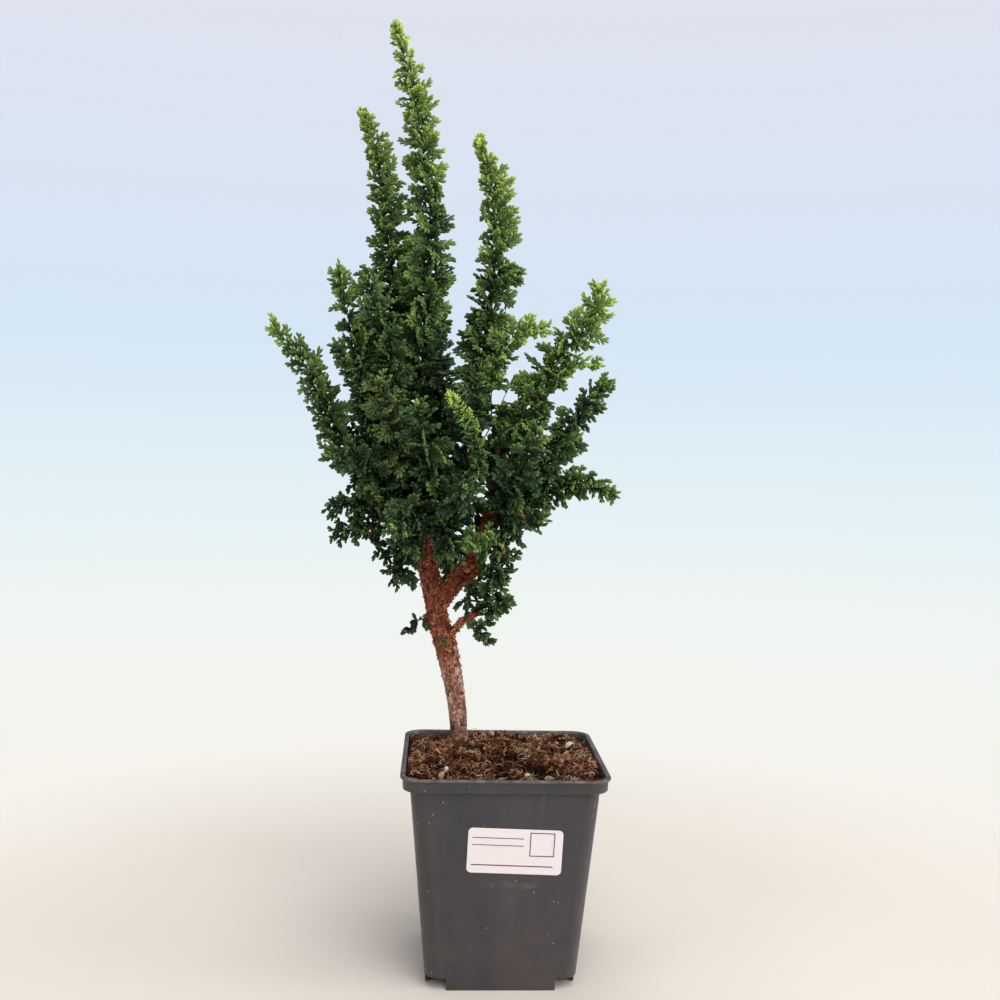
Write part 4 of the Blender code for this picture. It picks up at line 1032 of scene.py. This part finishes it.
def lump_mesh(name, spots, sizes, tones, detail, roughness, squash=0.75):
    """Irregular grains at the given spots."""
    bm = bmesh.new()
    bmesh.ops.create_icosphere(bm, subdivisions=detail, radius=1.0)
    base = np.array([v.co[:] for v in bm.verts])
    faces = np.array([[v.index for v in f.verts] for f in bm.faces])
    bm.free()
    rng = np.random.default_rng(5)
    parts = []
    for number, (spot, size) in enumerate(zip(spots, sizes)):
        stretch = rng.uniform(0.7, 1.3, 3) * (1, 1, squash)
        bumps = 1 + roughness * (
            noise(base + number * 7.31, 0.9, 8) + 0.5 * noise(base + number * 3.7, 0.45, 9))
        angle = rng.uniform(0, math.tau)
        turn = np.array(Matrix.Rotation(angle, 3, Vector(rng.normal(size=3)).normalized()))
        parts.append(((base * bumps[:, None] * stretch) @ turn.T * size + spot, [], faces))
    mesh = joined(name, parts)
    paint_parts(mesh, tones)
    return mesh


def make_crumbs():
    rng = random.Random(31)
    spots, crests = random_spots(rng, CRUMBS)
    sizes = [(0.35 + rng.random() ** 2.5) * MM for _ in spots]
    # Painted shade: crumbs in the hollows of the peat are darker
    tones = [clipped(rng.gauss(0.05 + 0.50 * crest, 0.22)) for crest in crests]
    mat = toned_material(
        "peat_crumbs", 900.0, 0.95, (0.0, 0.008, 0.002, 0.001), (0.4, 0.055, 0.017, 0.007),
        (0.7, 0.15, 0.055, 0.025), (1.0, 0.32, 0.17, 0.09))
    show(lump_mesh("soil_crumbs", spots, sizes, tones, 1, 0.35), mat, "soil")


def make_grains():
    """Pumice grains and chips of bark that lie on the soil."""
    pumice = toned_material(
        "pumice", 1100.0, 0.9, (0.2, 0.20, 0.12, 0.07), (0.55, 0.44, 0.32, 0.21), (0.9, 0.68, 0.57, 0.46))
    wood = toned_material(
        "chip_wood", 600.0, 0.75, (0.1, 0.10, 0.030, 0.012), (0.5, 0.30, 0.095, 0.035),
        (1.0, 0.56, 0.26, 0.13))
    for name, table, mat, seed, tone_range, form in (
            ("pumice_grains", GRAINS, pumice, 3, (0.40, 0.95), (3, 0.28)),
            ("bark_chips", CHIPS, wood, 4, (0.35, 0.9), (2, 0.3, 0.4))):
        x, y, radius = table.T
        spots = np.column_stack([x, y, soil_heights(x, y) + radius * 0.30])
        tones = np.random.default_rng(seed).uniform(*tone_range, len(table))
        show(lump_mesh(name, spots, radius, tones, *form), mat, "soil")


def make_moss():
    rng = random.Random(41)
    blades = Strands((0.0, 0.5, 0.85), (0.8, 1.0, 0.5), 3)
    for x, y, radius in np.repeat(MOSS, BLADES_IN_CLUMP, axis=0):
        angle = rng.uniform(0, math.tau)
        reach = radius * math.sqrt(rng.random())
        spot = np.array((x + reach * math.cos(angle), y + reach * math.sin(angle), 0.0))
        spot[2] = soil_heights(spot[:1], spot[1:2])[0] - 0.1 * MM
        forward = unit(np.array((rng.gauss(0, 0.8), rng.gauss(0, 0.8), 1.0)))
        wide = square_to(np.array((math.cos(angle), math.sin(angle), 0.01)), forward)
        bend = np.array((rng.gauss(0, 0.5), rng.gauss(0, 0.5), -0.3))
        length = rng.uniform(0.8, 2.4) * MM
        blades.add(spot, forward, wide, bend, length, 0.16 * MM, 0.08 * MM, rng.uniform(0.2, 1.0))
    mat = toned_material(
        "moss", 500.0, 0.7, (0.0, 0.03, 0.06, 0.01), (0.5, 0.20, 0.28, 0.06), (1.0, 0.50, 0.55, 0.20))
    show(blades.mesh("moss_bits", "tone"), mat, "soil")


# Wood

def stem_radius(girth, share):
    """Slim at the foot, fuller where the fans are longest, and thin at the tip."""
    swell = 1.0 + STEM_SWELL * math.sin(math.pi * min(1.0, 0.1 + share) ** 0.8)
    return girth * MM * swell * (1.0 - STEM_TAPER * share)


def stub_rows(name):
    """Short branch between a limb and a shoot's foot, as rows of (x, y, z, radius)."""
    limb, girth, _, points = SHOOTS[name]
    rows = np.array(LIMBS[limb]) * MM
    curve = smooth_curve(points)
    foot = curve[0]
    direction = unit(at_lengths(curve, [FAN_SPACING])[0] - foot)
    nearest = np.argmin(np.linalg.norm(rows[:-1, :3] + UP * STUB_RISE - foot, axis=1))
    *start, limb_radius = rows[nearest]
    reach = np.linalg.norm(foot - start)
    foot_radius = stem_radius(girth, 0.0)
    thickest = min(limb_radius * STUB_LIMB_SHARE, foot_radius * STUB_FOOT_SHARE)
    t = np.linspace(0.0, 1.0, STUB_STEPS + 1)[:, None]
    leave = t ** 3 - 2 * t ** 2 + t
    arrive = t ** 3 - t ** 2
    blend = 3 * t ** 2 - 2 * t ** 3
    places = start + (foot - start) * (blend + leave) + direction * reach * arrive
    return np.hstack([places, STUB_SLIMMING * (thickest + (foot_radius - thickest) * t)])


def make_wood():
    """Trunk, limbs and stubs melted into one skin, then wrinkled like bark."""
    parts = [tube(smooth_curve(rows, 5), 20) for rows in LIMBS.values()]
    parts += [tube(stub_rows(name), 10) for name in SHOOTS]
    wood = new_object(joined("wood_bark", parts), bark_material())
    modify(wood, "one_skin", "REMESH", mode="VOXEL", voxel_size=BARK_VOXEL)
    modify(wood, "soften", "SMOOTH", factor=0.5, iterations=4)
    baked(wood)
    mesh = wood.data
    places = vertex_rows(mesh.vertices, "co")
    normals = vertex_rows(mesh.vertex_normals, "vector")
    rough = np.clip((places[:, 2] - 0.124) / 0.024, 0.45, 1.0)
    slim = np.clip((places[:, 2] - 0.200) / 0.03, 0.0, 1.0)
    ridges = 1 - 2 * np.abs(noise(places, (1.3 * MM, 1.3 * MM, 2.8 * MM), 12))
    lumps = noise(places, 3.6 * MM, 13)
    pits = noise(places, (0.8 * MM, 0.8 * MM, 1.2 * MM), 14)
    rise = (0.40 * ridges + 0.30 * lumps + 0.32 * pits - 0.25) * (1 - 0.55 * slim)
    knots = 0.9 * np.clip(noise(places, 9.0 * MM, 15) - 0.35, 0, 1)
    places += normals * ((rise + knots) * rough * MM)[:, None]
    mesh.vertices.foreach_set("co", places.ravel())
    mesh.update()
    mesh.shade_smooth()
    dress(wood, "wood")


def make_flakes():
    """Loose scales of bark, lifted at one end, and the frayed fibres between them."""
    rng = random.Random(51)
    flakes = Strands((0.0, 0.6), (0.8, 1.0))
    hairs = Strands((0.0, 0.5), (1.0, 0.6), 3)
    for name, share in FLAKE_SHARES.items():
        curve = smooth_curve(LIMBS[name], 10)
        tangents, sides = frames_along(curve)
        pale = 0.22 if name == "low_twig" else 0.0
        for _ in range(int(arc_lengths(curve)[-1] / MM * FLAKES_PER_MM * share)):
            k = rng.randrange(2, len(curve) - 2)
            height = curve[k][2] + rng.gauss(0, 5 * MM)
            roughness = clipped((height - 0.129) / 0.020)
            if rng.random() > 0.30 + 0.70 * roughness or height < FLAKES_FROM:
                continue
            tangent = tangents[k] * (1 if rng.random() < 0.5 else -1)
            out = turned(sides[k], tangents[k], rng.uniform(0, math.tau))
            foot = curve[k][:3] + out * (curve[k][3] - 0.15 * MM)
            sideways = np.cross(tangent, out)
            lift = out * rng.uniform(0.05, 0.75) * roughness
            forward = unit(tangent + lift + sideways * rng.gauss(0, 0.7))
            bend = out * rng.uniform(-0.25, 0.35) * roughness
            length = rng.uniform(0.8, 2.5) * MM
            tone = clipped(rng.gauss(0.44 + pale - 0.14 * (1 - roughness), 0.22))
            flakes.add(foot, forward, square_to(sideways, forward), bend, length,
                       rng.uniform(0.22, 0.60) * MM, 0.20 * MM, tone)
            if rng.random() < 0.25 * roughness:
                forward = unit(out * rng.uniform(0.4, 1.0) + tangent)
                hairs.add(foot, forward, square_to(sideways, forward), tangent * rng.uniform(-0.3, 0.5),
                          rng.uniform(0.5, 1.4) * MM, 0.08 * MM, 0.08 * MM, rng.uniform(0.4, 1.0))
    bark = toned_material(
        "bark_flakes", 900.0, 0.78, (0.0, 0.030, 0.006, 0.003), (0.3, 0.150, 0.031, 0.012),
        (0.55, 0.34, 0.086, 0.032), (0.80, 0.55, 0.19, 0.060), (1.0, 0.72, 0.44, 0.28),
        tone="flake", sway=0.5, specular=0.5, bump=0.25)
    show(flakes.mesh("bark_strips", "flake"), bark, "wood")
    show(hairs.mesh("bark_hairs", "flake"), bark, "wood")


def make_knobs():
    tones = np.random.default_rng(6).uniform(0.25, 0.72, len(KNOBS))
    knobs = lump_mesh("bark_knobs", KNOBS[:, :3], KNOBS[:, 3], tones, 3, 0.62)
    mat = toned_material(
        "knob_bark", 1500.0, 0.8, (0.1, 0.035, 0.008, 0.004), (0.4, 0.22, 0.055, 0.022),
        (0.65, 0.44, 0.15, 0.055), (0.95, 0.62, 0.38, 0.26))
    show(knobs, mat, "wood")


def make_tuft(leaves):
    """Small blue green sprigs that sprout from the old bark of the trunk."""
    rng = random.Random(61)
    tuft = Strands(*FINGER)
    for _ in range(TUFT_SPRIGS):
        foot = (np.array(TUFT) + 1.1 * scatter(rng)) * MM
        forward = unit(np.array((rng.uniform(-1.0, 1.2), -0.6, rng.uniform(-0.9, 0.5))))
        wide = square_to(np.array((rng.gauss(0, 1), 0.1, rng.gauss(0, 1))), forward)
        tuft.add(foot, forward, wide, wide * 0.1, rng.uniform(1.8, 3.4) * MM, 0.42 * MM, 0.34 * MM,
                 rng.uniform(0.22, 0.50), rng.random(), rng.uniform(0.1, 0.35))
    show(tuft.mesh("trunk_tuft", "sprig", 0.1), leaves, "wood")


# Foliage

def in_sky_gap(row):
    """Whether the photograph's camera sees the middle of this finger in a gap of the foliage."""
    middle = np.array(row[:3]) + 0.6 * np.array(row[3:6]) * row[12]
    x, _, z = EYE + (middle - EYE) * EYE[1] / (EYE[1] - middle[1])
    return any(np.hypot(x - SKY_GAPS[:, 0], z - SKY_GAPS[:, 1]) < SKY_GAPS[:, 2])


def clear_sky_gaps(sprigs, first, starts):
    """Drop the spray if it would close a gap, or else each finger that would, with its forks."""
    if in_sky_gap(sprigs.rows[first]):
        del sprigs.rows[first:]
        return
    for start, end in reversed(list(zip(starts, [*starts[1:], len(sprigs.rows)]))):
        if in_sky_gap(sprigs.rows[start]):
            del sprigs.rows[start:end]


def add_spray(sprigs, base, forward, wide, length, tone, rng, brown=0.0, droop=1.0, girth=1.0):
    """A flat spray that droops a little: an axis with blunt fingers on both edges, the lowest forked."""
    normal = np.cross(forward, wide)
    normal = -normal if normal[2] < 0 else normal
    cup = normal * (rng.uniform(-0.38, 0.10) * droop)
    reach = length * 0.84
    middle = base + forward * length * 0.5
    if any(np.linalg.norm(WITHERED[:, :3] - middle, axis=1) < WITHERED[:, 3]) and rng.random() < 0.75:
        brown = 1.0
    first = len(sprigs.rows)
    starts = []
    # The spray's axis is darker than its fingers, as painted shade
    sprigs.add(base, forward, wide, cup, reach, 0.72 * MM, 0.5 * MM, tone - 0.14, rng.random(), brown)
    fingers = max(4, round(length / FINGER_SPACING))
    side = 1 if rng.random() < 0.5 else -1
    for i in range(fingers):
        starts.append(len(sprigs.rows))
        s = 0.14 + 0.72 * i / (fingers - 1)
        spot = base + forward * reach * s + cup * reach * s * s
        side = -side
        angle = math.radians(rng.uniform(40, 62)) * (1.0 - 0.2 * s)
        cosine = math.cos(angle)
        sine = side * math.sin(angle)
        heading = unit(forward * cosine + wide * sine + cup * s + normal * rng.uniform(-0.18, 0.18))
        across = square_to(wide * side * cosine - forward * side * sine, heading)
        own = max(3.0 * math.sqrt(girth) * MM, length * (0.42 - 0.17 * s) * rng.uniform(0.85, 1.15))
        bend = cup * 0.5 + forward * 0.15
        # Painted shade: fingers darker near the stem and lighter towards the spray's end
        finger_tone = tone + 0.16 * (s - 0.55) + rng.uniform(-0.08, 0.08)
        half = rng.uniform(0.88, 1.10) * girth * MM
        sprigs.add(spot, heading, across, bend, own, half, 0.74 * half, finger_tone, rng.random(), brown)
        if own <= 3.7 * MM:
            continue
        for turn in ((-1, 1) if own > 4.6 * MM else (rng.choice((-1, 1)),)):
            angle = math.radians(rng.uniform(42, 62)) * turn
            ahead = heading * math.cos(angle) + across * math.sin(angle)
            twig = unit(ahead + normal * rng.uniform(-0.2, 0.2))
            spread = square_to(across * math.cos(angle) - heading * math.sin(angle), twig)
            fork = spot + heading * own * rng.uniform(0.30, 0.5)
            sprigs.add(fork, twig, spread, bend, own * rng.uniform(0.50, 0.66), half * 0.95, 0.72 * half,
                       finger_tone + 0.03, rng.random(), brown)
    starts.append(len(sprigs.rows))
    sprigs.add(base + forward * length * 0.70 + cup * length * 0.50, unit(forward + cup * 1.4), wide, cup,
               max(3.0 * girth * MM, length * 0.30), 1.02 * girth * MM, 0.78 * girth * MM,
               tone + 0.06, rng.random(), brown)
    clear_sky_gaps(sprigs, first, starts)


def add_stub_sprays(sprigs, name, tone, rng):
    """Short sprays darkened with painted shade, along the outer part of the branch that carries a shoot high
    in the crown.
    """
    rows = stub_rows(name)
    tangents, sides = frames_along(rows)
    for k in range(3, len(rows)):
        if rows[k, 2] < STUB_SPRAYS_FROM:
            continue
        out = turned(sides[k], tangents[k], GOLDEN_TURN * k + rng.uniform(-0.5, 0.5))
        forward = unit(out + tangents[k] * rng.uniform(0.1, 0.8))
        wide = turned(square_to(tangents[k], forward), forward, rng.uniform(0, math.pi))
        add_spray(sprigs, rows[k, :3] + out * rows[k, 3] * 0.8, forward, wide,
                  rng.uniform(7.0, 10.0) * MM, tone, rng)


def add_thicket(sprigs, name, samples, tone, rng):
    """Sprays darkened with painted shade, in all directions where the crown is dense behind other shoots."""
    for place in np.array(THICKETS.get(name, [])) * MM:
        start = samples[np.argmin(np.linalg.norm(samples - place, axis=1))]
        forward = unit(place - start)
        length = np.linalg.norm(place - start) + 2.0 * MM
        sprigs.add(start, forward, square_to(UP, forward), UP * 0.0, length, 0.5 * MM, 0.5 * MM,
                   tone - 0.1, rng.random(), 0.6)
        for _ in range(THICKET_SPRAYS):
            forward = unit(scatter(rng))
            wide = square_to(scatter(rng), forward)
            add_spray(sprigs, place, forward, wide, rng.uniform(7.0, 10.0) * MM, tone, rng)


def twig_radius(girth, share):
    """Meets the stub at the foot and is soon a thin twig."""
    return girth * MM * (TWIG_SHARE + 0.9 * max(0.0, 1.0 - share / 0.12) ** 2) * (1.0 - 0.65 * share)


def make_shoot(number, name, leaves, twigs):
    """Sprays all round the stem of a shoot, a bunch of fingers at its tip, and the bare stem."""
    rng = random.Random(1000 + number)
    _, girth, fan_share, points = SHOOTS[name]
    gain, tip_gain, brown = LOOKS.get(name, USUAL_LOOK)
    spacing_share, length_share, push_foot, push_tip, push_z = HABITS.get(name, USUAL_HABIT)
    inner = name.startswith(INNER)
    narrowing, blunting = (0.42, 0.42) if name.startswith("leader") else (0.22, 0.33)
    level_share = 0.18 if name.startswith(UPRIGHT) else 0.40
    curve = smooth_curve(points)
    reach = arc_lengths(curve)[-1]
    count = max(4, round(reach / (SPRAY_SPACING * spacing_share * (1.25 if inner else 1.0))))
    samples = at_lengths(curve, np.linspace(0.0, reach, count + 1))
    tangents, sides = frames_along(samples)
    sprigs = Strands(*FINGER)
    for i, (sample, tangent) in enumerate(zip(samples, tangents)):
        share = i / count
        out = turned(sides[i], tangent, GOLDEN_TURN * i + rng.uniform(-0.4, 0.4))
        lean = rng.uniform(-0.10, 0.75) + share ** 5
        forward = unit(out + tangent * lean + UP * rng.uniform(-0.30, 0.10))
        wide = np.cross(tangent, out) if rng.random() < level_share else tangent
        wide = turned(square_to(wide, forward), forward, rng.gauss(0, 0.45))
        push_x = push_foot + (push_tip - push_foot) * share
        taper = 1.0 - narrowing * share ** 2 - blunting * share ** 8
        taper *= 1.0 + push_x * out[0] + push_z * out[2]
        length = SPRAY_LENGTH * length_share * fan_share * taper * rng.uniform(0.72, 1.10)
        rise = twig_radius(girth, share) * 0.7
        # Painted light and shade: sprays that face the lit side are lighter, and those of inner shoots darker
        tone = 0.225 + gain + tip_gain * share ** 2.2 + 0.05 * np.dot(out, LIGHT_SIDE) + rng.gauss(0, 0.06)
        tone -= 0.08 if inner else 0.0
        build = (brown, 1.0 - 0.9 * share ** 3, FINE.get(name, 1.0) * (1.0 - 0.28 * share ** 2))
        add_spray(sprigs, sample + out * rise, forward, wide, length, tone, rng, *build)
        if i % 2:
            out = turned(out, tangent, rng.uniform(1.5, 2.5))
            forward = unit(out + tangent * rng.uniform(0.8, 2.0))
            wide = square_to(np.cross(tangent, out), forward)
            # Sprays turned back along the stem are shorter and darker, as painted shade
            add_spray(sprigs, sample + out * rise, forward, wide, length * 0.56, tone - 0.08, rng, *build)
    add_stub_sprays(sprigs, name, 0.18 + gain, rng)
    add_thicket(sprigs, name, samples, 0.15 + gain, rng)
    for k in range(TIP_FINGERS):
        out = turned(sides[-1], tangents[-1], k * GOLDEN_TURN)
        forward = unit(tangents[-1] + out * (0.45 if k else 0.0))
        length = (3.4 if k else 4.4) * fan_share * length_share * MM
        sprigs.add(samples[-1] - tangents[-1] * MM, forward, square_to(out, forward), out * 0.0,
                   length, 0.78 * MM, 0.6 * MM, 0.42 + gain + tip_gain, rng.random(), 0.0)
    foliage = sprigs.mesh("leaves_" + name, "sprig", tip_gain=0.24)
    show(foliage, leaves, name)
    shares = np.linspace(0.0, 1.0, max(6, count // 2))
    radii = [twig_radius(girth, share) for share in shares]
    stem = joined("stem_" + name, [tube(np.column_stack([at_lengths(curve, shares * reach), radii]), 6)])
    show(stem, twigs, name)


def make_foliage():
    leaves = leaf_material()
    twigs = grained_material(
        "young_twig", 0.8, (0.2 * MM, 0.8),
        ((0.3, 0.028, 0.026, 0.010), (0.6, 0.070, 0.055, 0.020), (0.8, 0.13, 0.13, 0.040)),
        500.0, 3.0, 0.55, (1.0, 1.0, 0.3))
    make_tuft(leaves)
    for number, name in enumerate(SHOOTS):
        make_shoot(number, name, leaves, twigs)


# Stage, lights and camera

def make_stage():
    """Pale floor that fades into the backdrop, though it lights the plant all over."""
    n = Nodes("pale_floor")
    colour = n.ramp(n.noise(9.0, 4.0), (0.3, 0.71, 0.655, 0.60), (0.7, 0.73, 0.675, 0.62))
    mat = n.surface(colour, 0.6)
    distance = n.node("VectorMath", {0: n.place()}, operation="LENGTH").outputs["Value"]
    fade = n.remap(distance, 0.07, 0.42, 1.0, 0.0, interpolation_type="SMOOTHSTEP")
    seen = n.node("LightPath").outputs["Is Camera Ray"]
    hidden = n.times(n.math("SUBTRACT", 1.0, fade), seen)
    n.fill(n.tree.nodes["Principled BSDF"], {"Alpha": n.math("SUBTRACT", 1.0, hidden)})
    bm = bmesh.new()
    bmesh.ops.create_circle(bm, cap_ends=True, segments=96, radius=1.6)
    new_object(mesh_of(bm, "floor"), mat)


def make_world():
    """Pale backdrop that shades from cream below to grey blue above, and an even light all round."""
    n = Nodes("studio", "worlds")
    bpy.context.scene.world = n.owner
    even = n.fill(n.tree.nodes["Background"], {"Color": (0.94, 0.97, 1.0), "Strength": 0.225})
    look = n.node("TexCoord").outputs["Generated"]
    height = n.node("SeparateXYZ", {0: look}).outputs["Z"]
    stops = [((position + 1) / 2, *colour) for position, *colour in BACKDROP]
    seen = n.node("Background", {"Color": n.ramp(n.remap(height, -1.0, 1.0), *stops)})
    mix = n.node("MixShader", {
        "Fac": n.node("LightPath").outputs["Is Camera Ray"], 1: even.outputs[0],
        2: seen.outputs[0]})
    n.fill(n.tree.nodes["World Output"], {"Surface": mix.outputs[0]})


def make_lights():
    """Round lights that face the crown."""
    for name, (place, size, power, colour) in LIGHTS.items():
        data = bpy.data.lights.new(name, "AREA")
        data.shape = "DISK"
        data.size = size
        data.energy = power
        data.color = colour
        light = bpy.data.objects.new(name, data)
        light.location = place
        light.rotation_mode = "QUATERNION"
        light.rotation_quaternion = (Vector(LIGHTS_AIM) - Vector(place)).to_track_quat("-Z", "Y")
        bpy.context.scene.collection.objects.link(light)


def make_camera():
    """The photograph's viewpoint."""
    yaw, pitch, roll = (math.radians(angle) for angle in CAMERA_ANGLES)
    data = bpy.data.cameras.new("camera")
    data.lens = CAMERA_LENS
    data.sensor_width = 36.0
    data.clip_start = 0.01
    data.clip_end = 30.0
    camera = bpy.data.objects.new("camera", data)
    camera.matrix_world = (
        Matrix.Translation(EYE) @ Matrix.Rotation(-yaw, 4, "Z")
        @ Matrix.Rotation(math.pi / 2 - pitch, 4, "X") @ Matrix.Rotation(-roll, 4, "Z"))
    bpy.context.scene.collection.objects.link(camera)
    bpy.context.scene.camera = camera
    bpy.context.scene.view_settings.view_transform = "Standard"


make_pot()
make_label()
make_soil()
make_fibres()
make_crumbs()
make_grains()
make_moss()
make_wood()
make_flakes()
make_knobs()
make_foliage()
make_stage()
make_world()
make_lights()
make_camera()
